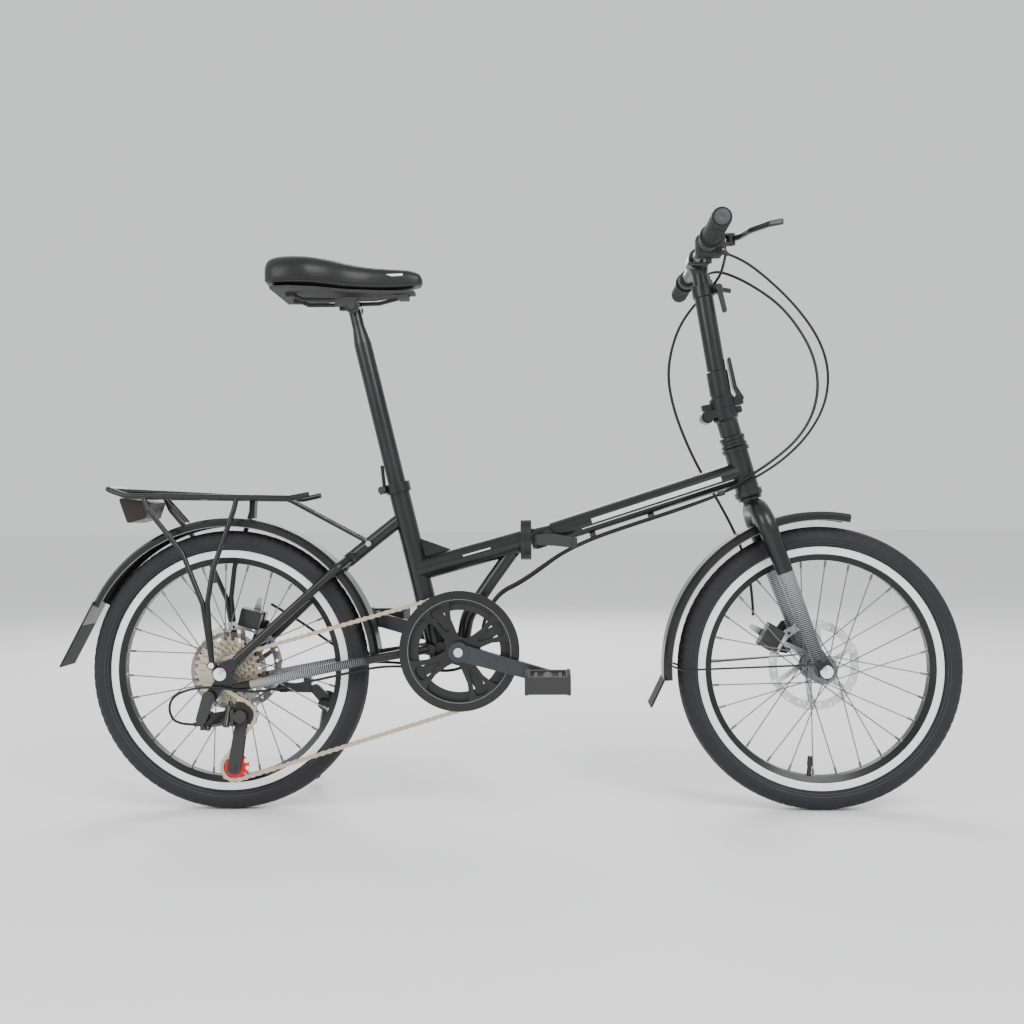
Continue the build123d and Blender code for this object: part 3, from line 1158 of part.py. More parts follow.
def make_brake_lever(name, s):
    """The lever blade swings in a level plane in front of the grip."""
    points = [(LEVER_SIDE - 2, LEVER_AHEAD - 2), (LEVER_SIDE + 18, LEVER_AHEAD + 12), (LEVER_SIDE + 55, LEVER_AHEAD + 22),
              (LEVER_SIDE + 92, LEVER_AHEAD + 44), (LEVER_SIDE + 106, LEVER_AHEAD + 62)]
    path = FilletPolyline(*[bar_point(s * y, a) for y, a in points], radius=18)
    section = Plane(origin=path @ 0, x_dir=UP, z_dir=path % 0) * RectangleRounded(9.4, 6.5, 2.5)
    blade = sweep(section, path=path)
    boss = disc_up(lever_pivot(s), 7.5, -5, 5)
    tail = Location(lever_pivot(s) + RIGHT * (-s * 8) + AHEAD * 3) * Box(8, 12, 8)
    body = boss + blade + tail - disc_up(lever_pivot(s), 2.5 + RUN_CLEARANCE, -15, 15)
    save(name, body)


# ---- Saddle and seatpost ----

def make_seat():
    top = on_seat_tube(SADDLE_CLAMP_UP - 6)
    bottom = on_seat_tube(COLLAR_UP - 150)
    neck = on_seat_tube(SADDLE_CLAMP_UP - 45)
    shoulder = on_seat_tube(SADDLE_CLAMP_UP - 75)
    post = rod(bottom, shoulder, SEATPOST_RADIUS) + taper(shoulder, neck, SEATPOST_RADIUS, 11) + rod(neck, top, 11)
    post = post - rod(bottom - SEAT_UP, shoulder - SEAT_UP * 8, SEATPOST_RADIUS - 2)
    head = disc(SADDLE_PIVOT, 11, -15, 15)
    save("seatpost", post + head - disc(SADDLE_PIVOT, 4.1, -30, 30))

    rails = []
    for s in (-1, 1):
        points = [
            at(SADDLE_AHEAD - 96, RAIL_UP + 9, s * 30),
            at(SADDLE_AHEAD - 78, RAIL_UP, s * 26),
            at(SADDLE_AHEAD - 30, RAIL_UP - 1, s * 22),
            at(SADDLE_AHEAD + 50, RAIL_UP, s * 21),
            at(SADDLE_AHEAD + 98, RAIL_UP + 9, s * 8),
        ]
        rails.append(tube(points, 3.5, 14))
    ends = []
    for s in (-1, 1):
        block = disc(SADDLE_PIVOT, 12, s * (15 + GAP), s * 27) + Location(at(SADDLE_AHEAD - 2, RAIL_UP - 4, s * 21.5)) * Box(38, 11, 14)
        ends.append(block - disc(SADDLE_PIVOT, 4.05, -40, 40))
    through = disc(SADDLE_PIVOT, 4.0, -31, 31) + disc(SADDLE_PIVOT, 7, 27, 32) + disc(SADDLE_PIVOT, 7, -32, -27)
    rail_set = rails[0] + rails[1] + ends[0] + ends[1] + through

    base_points = [(88, 70), (120, 74), (165, 62), (215, 34), (270, 20), (330, 14)]
    outline = [(a, w) for a, w in base_points] + [(a, -w) for a, w in reversed(base_points)]
    face = make_face(Polyline(*[Vector(REAR_X - a, w, BASE_UP) for a, w in outline], close=True))
    base = extrude(face, 5, dir=UP)
    sockets = [Location(at(SADDLE_AHEAD - 97, BASE_UP - 2, s * 30)) * Box(16, 12, 10) for s in (-1, 1)]
    nose = Location(at(SADDLE_AHEAD + 97, BASE_UP - 3)) * Box(18, 26, 12)
    save("saddle_base", rail_set + base + sockets[0] + sockets[1] + nose)

    stations = [(72, 934, 957, 40), (92, 914, 966, 71), (130, 909, 968, 79), (170, 909, 962, 70), (212, 909, 955, 44),
                (262, 910, 950, 27), (310, 911, 946, 22), (338, 914, 941, 18), (347, 921, 935, 10)]
    sections = []
    for ahead, low, high, half in stations:
        plane = Plane(origin=at(ahead, (low + high) / 2), x_dir=(0, 1, 0), z_dir=(-1, 0, 0))
        tall = high - low
        sections.append(plane * RectangleRounded(2 * half, tall, min(half, tall / 2) * 0.92))
    save("saddle_cover", loft(sections))


SADDLE_AHEAD = 213.0
RAIL_UP = 893.0
BASE_UP = 903.7
SADDLE_PIVOT = on_seat_tube(SADDLE_CLAMP_UP - 12)


# ---- Brakes ----

REAR_CALLIPER_TURN = -14.0
FRONT_CALLIPER_TURN = 60.0
REAR_CALLIPER_DEPTH = 19.0     # from the rotor to the calliper's outer face
FRONT_CALLIPER_DEPTH = 17.0


def calliper_block(centre, rotor_side, turn, depth):
    return Location((centre.X, rotor_side - (depth + 1) / 2, centre.Z), (0, turn, 0)) * Box(44, depth - 1, 34)


def make_calliper(prefix, centre, rotor_side, turn, depth):
    """A cable disc calliper over the rotor's edge, with the pads inside it."""
    body = calliper_block(centre, rotor_side, turn, depth)
    inner = Location((centre.X, rotor_side + 9.5, centre.Z), (0, turn, 0)) * Box(40, 13, 30)
    bridge = Location((centre.X, rotor_side + 1, centre.Z), (0, turn, 0)) * Pos(0, 0, 13) * Box(38, 30, 9)
    body = body + fillet(inner.edges(), 2.5) + bridge
    throat = Location((centre.X, rotor_side + 0.9, centre.Z), (0, turn, 0)) * Pos(0, 0, -12) * Box(60, 4.4, 44)
    body = body - throat
    pads = []
    for offset in (-1.2, 2.9):
        pads.append(Location((centre.X, rotor_side + offset, centre.Z), (0, turn, 0)) * Pos(0, 0, -5) * Box(24, 1.6, 18))
    face = rotor_side - depth - 4
    stub = disc(centre, 7, face, rotor_side - depth + 1)
    save(f"{prefix}_calliper", body + stub, *pads)
    hub = disc(centre, 9, face - 6, face - GAP)
    place = Vector(centre.X, 0, centre.Z)
    out = Vector(-sin(radians(turn)), 0, -cos(radians(turn))) * -1
    tip = place + out * 34
    arm = link(place, tip, 8, 5, face - 6, face - 2)
    save(f"{prefix}_calliper_arm", hub + arm)


# ---- Mudguards, rack, stand ----

def mudguard(centre, radius, start, stop):
    """A channel that follows the wheel from one angle to another."""
    h, t = GUARD_HALF, GUARD_WALL
    drop = 15.0
    outline = [(-h, radius - drop), (-h, radius - 5), (-h + 7, radius), (h - 7, radius), (h, radius - 5), (h, radius - drop),
               (h - t, radius - drop), (h - t, radius - 5.8), (h - 7.8, radius - t), (-h + 7.8, radius - t),
               (-h + t, radius - 5.8), (-h + t, radius - drop)]
    face = make_face(Polyline(*[Vector(centre.X - r, y, centre.Z) for y, r in outline], close=True))
    swept = revolve(face, Axis((centre.X, 0, centre.Z), (0, 1, 0)), stop - start)
    return swept.rotate(Axis((centre.X, 0, centre.Z), (0, 1, 0)), start)


def flap(centre, radius, start, tip_radius, tip_angle, half):
    """The loose flap at a mudguard's lower end."""
    a = around(centre, radius - 2, start)
    b = around(centre, tip_radius, tip_angle)
    along = (b - a).normalized()
    middle = (a + b) * 0.5
    turn = degrees(atan2(-along.Z, along.X))
    return Location(middle, (0, turn, 0)) * Box((b - a).length, 2 * half, 3)


def make_mudguards():
    start, stop = 6.0, 154.0
    rear = mudguard(REAR_AXLE, REAR_GUARD_RADIUS, start, stop)
    rear = rear + flap(REAR_AXLE, REAR_GUARD_RADIUS, stop - 1.5, 296, 178.5, 30)
    save("rear_mudguard", rear)
    start, stop = 79.0, 184.0
    front = mudguard(FRONT_AXLE, FRONT_GUARD_RADIUS, start, stop)
    front = front + flap(FRONT_AXLE, FRONT_GUARD_RADIUS, stop - 1.0, 300, 192.3, 30)
    tie = side_plate([(912, 525), (931, 525), (940, 495), (920, 495)], -8, 8)
    tie = tie - rod(at(ARCH_AHEAD, ARCH_UP, -20), at(ARCH_AHEAD, ARCH_UP, 20), LEG_TOP_RADIUS)
    stays = []
    for s in (-1, 1):
        stay_side = s * (FRONT_DROPOUT + 19.2)
        points = [around(FRONT_AXLE, FRONT_GUARD_RADIUS - 8, 178, s * (GUARD_HALF + 0.5)),
                  at(790, 246, s * 38), at(990, 258, stay_side), at(1015, 261, stay_side)]
        eyelet = disc(at(1016, 261), 4.5, s * (FRONT_DROPOUT + 14), s * (FRONT_DROPOUT + 21)) - fork_leg(s)
        stays.append(tube(points, 1.7, 12) + eyelet.solids().sort_by(Axis.Y)[-1 if s > 0 else 0])
    save("front_mudguard", front + tie + stays[0] + stays[1])


def rack_height(ahead):
    return 548.0 - ahead * 0.02


def make_rack():
    h = RACK_HALF
    loop = [at(150, 552, -h + 8), at(118, rack_height(118), -h), at(-168, rack_height(-168), -h), at(-204, 564, -h + 4),
            at(-204, 564, h - 4), at(-168, rack_height(-168), h), at(118, rack_height(118), h), at(150, 552, h - 8)]
    body = tube(loop, RACK_ROD, 14)
    for y in (-18, 18):
        body = body + rod(at(-196, 562, y), at(96, rack_height(96), y), 3.5)
    for ahead in (96, 20, -60, -140):
        body = body + rod(at(ahead, rack_height(ahead), -h), at(ahead, rack_height(ahead), h), 4)
    for s in (-1, 1):
        foot = s * (REAR_DROPOUT + 10.5)
        rear_leg = [at(-138, rack_height(-138), s * h), at(-128, 527, s * 58), at(-66, 452, s * 64), at(-29, 364, s * 70), at(-12, 262, foot)]
        front_leg = [at(26, rack_height(26), s * h), at(22, 527, s * 58), at(-13, 423, s * 66), at(-21, 366, s * 71), at(-12, 262, foot)]
        body = body + tube(rear_leg, RACK_ROD - 0.5, 22) + tube(front_leg, RACK_ROD - 0.5, 22)
        lug = disc(at(-12, 261), 7.5, s * (REAR_DROPOUT + 6), s * (REAR_DROPOUT + 14))
        inside = disc(at(-12, 261), 12, s * (REAR_DROPOUT - 10), s * (REAR_DROPOUT + 6))
        beyond = disc(at(-12, 261), 12, s * (REAR_DROPOUT + 14), s * (REAR_DROPOUT + 30))
        body = body + lug - disc(at(-12, 261), 2.6, s * 60, s * 90) - inside - beyond
        stay = [at(96, rack_height(96), s * 14), at(112, 540, s * 14), at(236, 473, s * 16), at(248, 466, s * 16)]
        foot_lug = disc(RACK_STAY_FOOT, 6.5, s * 12.2, s * 20)
        body = body + tube(stay, 3, 12) + foot_lug - disc(RACK_STAY_FOOT, 2.6, s * 5, s * 30)
    for y in (-9, 9):
        body = body + rod(at(-118, rack_height(-118), y), at(-78, 505, y), 2.2)
    hook = side_plate([(36, rack_height(36)), (46, rack_height(46)), (44, 511), (34, 511)], -9, 9)
    cross = rod(at(-118, rack_height(-118), -18), at(-118, rack_height(-118), 18), 3)
    save("rear_rack", body + hook + cross)

    lamp = [(-188, 549), (-130, 541), (-140, 512), (-172, 504)]
    housing = side_plate(lamp, -38, 38)
    save("tail_reflector", fillet(housing.edges().filter_by(Axis.Y), 4))


STAND_PIVOT = at(STAND_AHEAD, STAND_UP, STAND_SIDE)
STAND_FOOT = at(FOOT_AHEAD, FOOT_UP, FOOT_SIDE)
STAND_DOWN = (STAND_FOOT - STAND_PIVOT).normalized()
STAND_FOLDED = Vector(0.98, -0.12, 0.10).normalized()
STAND_AXIS = STAND_DOWN.cross(STAND_FOLDED).normalized()


def make_stand():
    plate = side_plate([(60, 196), (58, 212), (112, 210), (140, 203), (150, 198), (134, 193), (104, 194)], -72, -64)
    hub = rod(STAND_PIVOT - STAND_AXIS * 10, STAND_PIVOT - STAND_AXIS * GAP, 13)
    web = link(at(136, 200), at(STAND_AHEAD - 3, STAND_UP + 8), 9, 10, -68.6, -60)
    room = rod(STAND_PIVOT - STAND_AXIS * GAP, STAND_PIVOT + STAND_AXIS * 40, 14)
    body = plate + web - room + hub
    for ahead in (78, 122):
        strap = Location(at(ahead, 215, -63)) * Box(14, 12, 40)
        body = body + (strap - chainstay(-1) - chainstay(-1).translate(UP * 12))
    body = body + disc(at(76, 204), 4.5, -75, -72) + disc(at(124, 198), 4.5, -75, -72)
    save("kickstand_bracket", body)
    shaft = rod(STAND_PIVOT, STAND_PIVOT + STAND_AXIS * 16.5, 13)
    leg_root = STAND_PIVOT + STAND_AXIS * 8.5
    leg = rod(leg_root, STAND_FOOT, 8) + rod(STAND_FOOT - STAND_DOWN * 26, STAND_FOOT + STAND_DOWN * 6, 9.5)
    save("kickstand_leg", shaft + leg)


def make_bolts(axle_set):
    pin = rod(Vector(HINGE.X, PIN_SIDE, HINGE_UP - 29), Vector(HINGE.X, PIN_SIDE, HINGE_UP + 29), PIN_RADIUS)
    caps = [rod(Vector(HINGE.X, PIN_SIDE, HINGE_UP + s * 26.2), Vector(HINGE.X, PIN_SIDE, HINGE_UP + s * 30), 7) for s in (-1, 1)]
    parts = [pin + caps[0] + caps[1], axle_set]
    for s in (-1, 1):
        parts.append(bolt(at(-12, 261, s * (REAR_DROPOUT + 14)), RIGHT * -s, 15, 2.5, 5))
    stay_bolt = disc(RACK_STAY_FOOT, 2.5, -23, 23)
    parts.append(stay_bolt + disc(RACK_STAY_FOOT, 5, -23, -20) + disc(RACK_STAY_FOOT, 5, 20, 23))
    save("frame_bolts", *parts)


# ---- Cables ----
# Each route is a list of (ahead, up, side) from the lever towards the brake or derailleur.

SHIFT_ROUTE = [(928, 915, 68), (979, 868, 62), (1022, 812, 54), (1042, 757, 44), (1038, 700, 34), (1010, 648, 28), (968, 606, 25),
               (918, 574, 24.5), (866, 550, 25), (810, 530, 12), (752, 511, 5), (696, 493, 5), (640, 474, 5), (586, 449, 5),
               (550, 424, 0)]
BRAKE_ROUTE = [(890, 950, -76), (930, 926, -62), (976, 888, -46), (1008, 842, -32), (1030, 792, -18), (1036, 738, -6),
               (1024, 686, 4), (994, 641, 16), (950, 605, 29), (906, 576, 32), (862, 548, 31), (808, 527, 19), (752, 508, -3),
               (696, 490, -4), (640, 471, -4), (586, 446, -4), (550, 419, -7)]
FRONT_ROUTE = [(866, 943, 42), (865, 929, 8), (852, 912, -22), (826, 888, -37), (800, 853, -42), (784, 809, -48), (778, 760, -54),
               (788, 706, -60), (808, 650, -62), (834, 594, -64), (868, 538, -69), (898, 482, -73.5), (920, 425, -74.5), (929, 368, -73),
               (930, 330, -72)]
# Behind the frame hinge they follow the brace, pass under the crank and part.
SHIFT_REAR = [(512, 398, 2), (474, 380, 5), (450, 340, 6), (442, 298, 7), (434, 258, 8), (392, 240, 9), (350, 245, 12),
              (310, 253, 28), (262, 253, 40), (200, 240, 47), (130, 226, 55), (70, 214, 65), (38, 218, 78.5), (-8, 225, 79),
              (-50, 221, 73), (-84, 207, 65), (-94, 182, 58), (-82, 156.9, 55)]
BRAKE_REAR = [(512, 393, -7), (476, 376, -7), (451, 338, -7), (443, 297, -7), (434, 257, -8), (392, 239, -8), (350, 242, -10),
              (310, 250, -28), (272, 251, -45), (226, 249, -62), (172, 276, -69), (118, 315, -71), (76, 341, -72), (52.5, 354.6, -72.7)]


def places(route):
    return [at(ahead, up, side) for ahead, up, side in route]


def make_cables():
    pod_run = (POD_EXIT - bar_point(107, 19, -7)).normalized()
    shift = [POD_EXIT + pod_run * GAP, POD_EXIT + pod_run * 30] + places(SHIFT_ROUTE)
    solids = [cable("shift cable", shift, 2.2)]
    for name, s, route in (("rear brake cable", -1, BRAKE_ROUTE), ("front brake cable", 1, FRONT_ROUTE)):
        run = (lever_exit(s) - bar_point(s * (LEVER_SIDE - 13), 22.5)).normalized()
        points = [lever_exit(s) + run * GAP, lever_exit(s) + run * 30] + places(route)
        solids.append(cable(name, points))
    save("front_cables", *solids)

    rear = []
    for name, front, route, tail, radius in (("rear shift cable", SHIFT_ROUTE, SHIFT_REAR, [BARREL_END - AHEAD * GAP], 2.2),
                                             ("rear brake cable, back", BRAKE_ROUTE, BRAKE_REAR, [], CABLE_RADIUS)):
        before, last = places(front[-2:])
        onward = (last - before).normalized()
        rear.append(cable(name, [last + onward * 2 * GAP] + places(route) + tail, radius))
    save("rear_cables", *rear)


make_rear_frame()
make_seat_clamp_lever()
make_rear_stays()
make_bottom_bracket()
make_front_frame()
make_frame_latch()
make_wheel("rear", REAR_AXLE, REAR_LEFT_FLANGE, REAR_RIGHT_FLANGE, -53.0, 18.0, REAR_ROTOR_SIDE, 100, 3)
make_wheel("front", FRONT_AXLE, FRONT_LEFT_FLANGE, FRONT_RIGHT_FLANGE, -46.0, 44.0, FRONT_ROTOR_SIDE, -96, 9)
rear_axle_set = make_axles()
make_spoke_protector()
make_chain()
make_cassette()
make_cranks()
make_chainring()
make_pedal("right_pedal", 1, 0.0)
make_pedal("left_pedal", -1, 180.0)
make_derailleur()
make_fork()
make_stem_base()
make_handlepost()
make_post_levers()
make_bar()
make_controls()
make_brake_lever("right_brake_lever", 1)
make_brake_lever("left_brake_lever", -1)
make_seat()
make_calliper("rear", REAR_CALLIPER, REAR_ROTOR_SIDE, REAR_CALLIPER_TURN, REAR_CALLIPER_DEPTH)
make_calliper("front", FRONT_CALLIPER, FRONT_ROTOR_SIDE, FRONT_CALLIPER_TURN, FRONT_CALLIPER_DEPTH)
make_mudguards()
make_rack()
make_stand()
make_bolts(rear_axle_set)
make_cables()
print(len(made), "nodes")
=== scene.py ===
from math import acos, asin, atan2, cos, hypot, pi, radians, sin

import bmesh
import bpy
from mathutils import Matrix, Vector


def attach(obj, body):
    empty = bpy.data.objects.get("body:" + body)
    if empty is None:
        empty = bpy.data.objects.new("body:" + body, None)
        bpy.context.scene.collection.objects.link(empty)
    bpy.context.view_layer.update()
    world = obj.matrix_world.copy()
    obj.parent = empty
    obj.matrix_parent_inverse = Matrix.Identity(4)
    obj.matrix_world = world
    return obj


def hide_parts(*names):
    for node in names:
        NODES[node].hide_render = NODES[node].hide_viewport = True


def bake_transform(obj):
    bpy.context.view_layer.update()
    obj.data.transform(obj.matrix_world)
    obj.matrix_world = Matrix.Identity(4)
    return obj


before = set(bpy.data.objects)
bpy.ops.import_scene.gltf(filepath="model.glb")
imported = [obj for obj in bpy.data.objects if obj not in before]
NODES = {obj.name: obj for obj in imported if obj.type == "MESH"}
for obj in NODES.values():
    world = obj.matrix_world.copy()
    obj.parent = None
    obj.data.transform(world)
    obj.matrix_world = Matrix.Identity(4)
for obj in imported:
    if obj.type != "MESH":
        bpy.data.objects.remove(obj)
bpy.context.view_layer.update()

bl_info = {
    "name": "Folding Bicycle",
    "version": (1, 0, 0),
    "blender": (4, 5, 0),
    "location": "View3D > Sidebar > Bicycle",
    "description": "Builds the visible pieces of a folding bicycle on its frame",
    "category": "Add Mesh",
}

REAR_X = 0.489
WHEELBASE = 1.030
AXLE_UP = 0.245


def at(ahead, up, side=0.0):
    """A place in millimetres: ahead of the rear axle, up from the ground, towards the rider's right."""
    return Vector((REAR_X - ahead / 1000, side / 1000, up / 1000))


REAR_AXLE = at(0, 245)
FRONT_AXLE = at(1030, 245)
CRANK = at(409, 282)


# ---- Materials ----

class Nodes:
    """A short way to build a shader."""

    def __init__(self, name):
        self.mat = bpy.data.materials.new(name)
        self.mat.use_nodes = True
        self.tree = self.mat.node_tree
        self.bsdf = self.tree.nodes["Principled BSDF"]
        self.coord = self.tree.nodes.new("ShaderNodeTexCoord").outputs["Object"]

    def link(self, a, b):
        self.tree.links.new(a, b)

    def put(self, socket, value):
        if isinstance(value, bpy.types.NodeSocket):
            self.link(value, socket)
        else:
            socket.default_value = value

    def math(self, op, a, b=0.0, c=0.0):
        n = self.tree.nodes.new("ShaderNodeMath")
        n.operation = op
        for k, v in enumerate((a, b, c)):
            self.put(n.inputs[k], v)
        return n.outputs[0]

    def axes(self):
        n = self.tree.nodes.new("ShaderNodeSeparateXYZ")
        self.link(self.coord, n.inputs[0])
        return n.outputs

    def noise(self, scale, detail=4.0, rough=0.55, stretch=None):
        n = self.tree.nodes.new("ShaderNodeTexNoise")
        n.inputs["Scale"].default_value = scale
        n.inputs["Detail"].default_value = detail
        n.inputs["Roughness"].default_value = rough
        vector = self.coord
        if stretch:
            m = self.tree.nodes.new("ShaderNodeMapping")
            m.inputs["Scale"].default_value = stretch
            self.link(self.coord, m.inputs["Vector"])
            vector = m.outputs[0]
        self.link(vector, n.inputs["Vector"])
        return n.outputs["Fac"]

    def ramp(self, fac, low, high, a, b):
        n = self.tree.nodes.new("ShaderNodeMapRange")
        for k, v in enumerate((fac, low, high, a, b)):
            self.put(n.inputs[k], v)
        return n.outputs[0]

    def mix(self, fac, a, b):
        n = self.tree.nodes.new("ShaderNodeMix")
        n.data_type = "RGBA"
        self.put(n.inputs[0], fac)
        for socket, value in ((n.inputs[6], a), (n.inputs[7], b)):
            self.put(socket, value if isinstance(value, bpy.types.NodeSocket) else (*value, 1.0))
        return n.outputs[2]

    def bump(self, height, strength, distance=0.001):
        n = self.tree.nodes.new("ShaderNodeBump")
        n.inputs["Strength"].default_value = strength
        n.inputs["Distance"].default_value = distance
        self.link(height, n.inputs["Height"])
        self.link(n.outputs[0], self.bsdf.inputs["Normal"])

    def band(self, value, low, high):
        """1 between low and high, 0 outside."""
        return self.math("MULTIPLY", self.math("GREATER_THAN", value, low), self.math("LESS_THAN", value, high))

    def near(self, centre):
        """Distance from a lateral axis in the side view, in metres."""
        x, _, z = self.axes()
        dx = self.math("SUBTRACT", x, centre.x)
        dz = self.math("SUBTRACT", z, centre.z)
        return self.math("SQRT", self.math("ADD", self.math("MULTIPLY", dx, dx), self.math("MULTIPLY", dz, dz)))

    def along(self, start, end):
        """(distance along, distance across) of a straight line in the side view, in metres."""
        x, _, z = self.axes()
        d = (end - start)
        d.y = 0
        d.normalize()
        dx = self.math("SUBTRACT", x, start.x)
        dz = self.math("SUBTRACT", z, start.z)
        u = self.math("ADD", self.math("MULTIPLY", dx, d.x), self.math("MULTIPLY", dz, d.z))
        v = self.math("SUBTRACT", self.math("MULTIPLY", dz, -d.x), self.math("MULTIPLY", dx, -d.z))
        return u, v


def finish(m, color, rough, metal=0.0, coat=0.0, dust=0.25, grain=0.0, grain_scale=900.0, stretch=None):
    """Base look: a colour with faint dust and wear, and a roughness that varies."""
    patch = m.noise(14, 6, 0.6)
    fine = m.noise(grain_scale, 2, 0.5, stretch)
    shade = tuple(min(1.0, c * 1.3 + (0.006 if metal < 0.5 else 0.02)) for c in color[:3])
    base = color if not isinstance(color, bpy.types.NodeSocket) else color
    fac = m.ramp(patch, 0.42, 0.75, 0.0, dust)
    m.put(m.bsdf.inputs["Base Color"], m.mix(fac, base, shade))
    m.put(m.bsdf.inputs["Roughness"], m.ramp(patch, 0.3, 0.7, rough * 0.82, min(1.0, rough * 1.2)))
    m.bsdf.inputs["Metallic"].default_value = metal
    m.bsdf.inputs["Specular IOR Level"].default_value = 0.5 if metal > 0.5 else 0.32
    m.bsdf.inputs["Coat Weight"].default_value = coat * 0.6
    m.bsdf.inputs["Coat Roughness"].default_value = 0.12
    if grain:
        m.bump(fine, grain, 0.0004)
    return m.mat


def overlay(m, mask, color, rough=None, metal=None):
    """Paints a masked colour over whatever the base colour is."""
    socket = m.bsdf.inputs["Base Color"]
    old = socket.links[0].from_socket
    m.link(m.mix(mask, old, color), socket)
    for name, value in (("Roughness", rough), ("Metallic", metal)):
        if value is None:
            continue
        s = m.bsdf.inputs[name]
        before = s.links[0].from_socket if s.links else s.default_value
        m.put(s, m.math("ADD", m.math("MULTIPLY", before, m.math("SUBTRACT", 1.0, mask)), m.math("MULTIPLY", mask, value)))


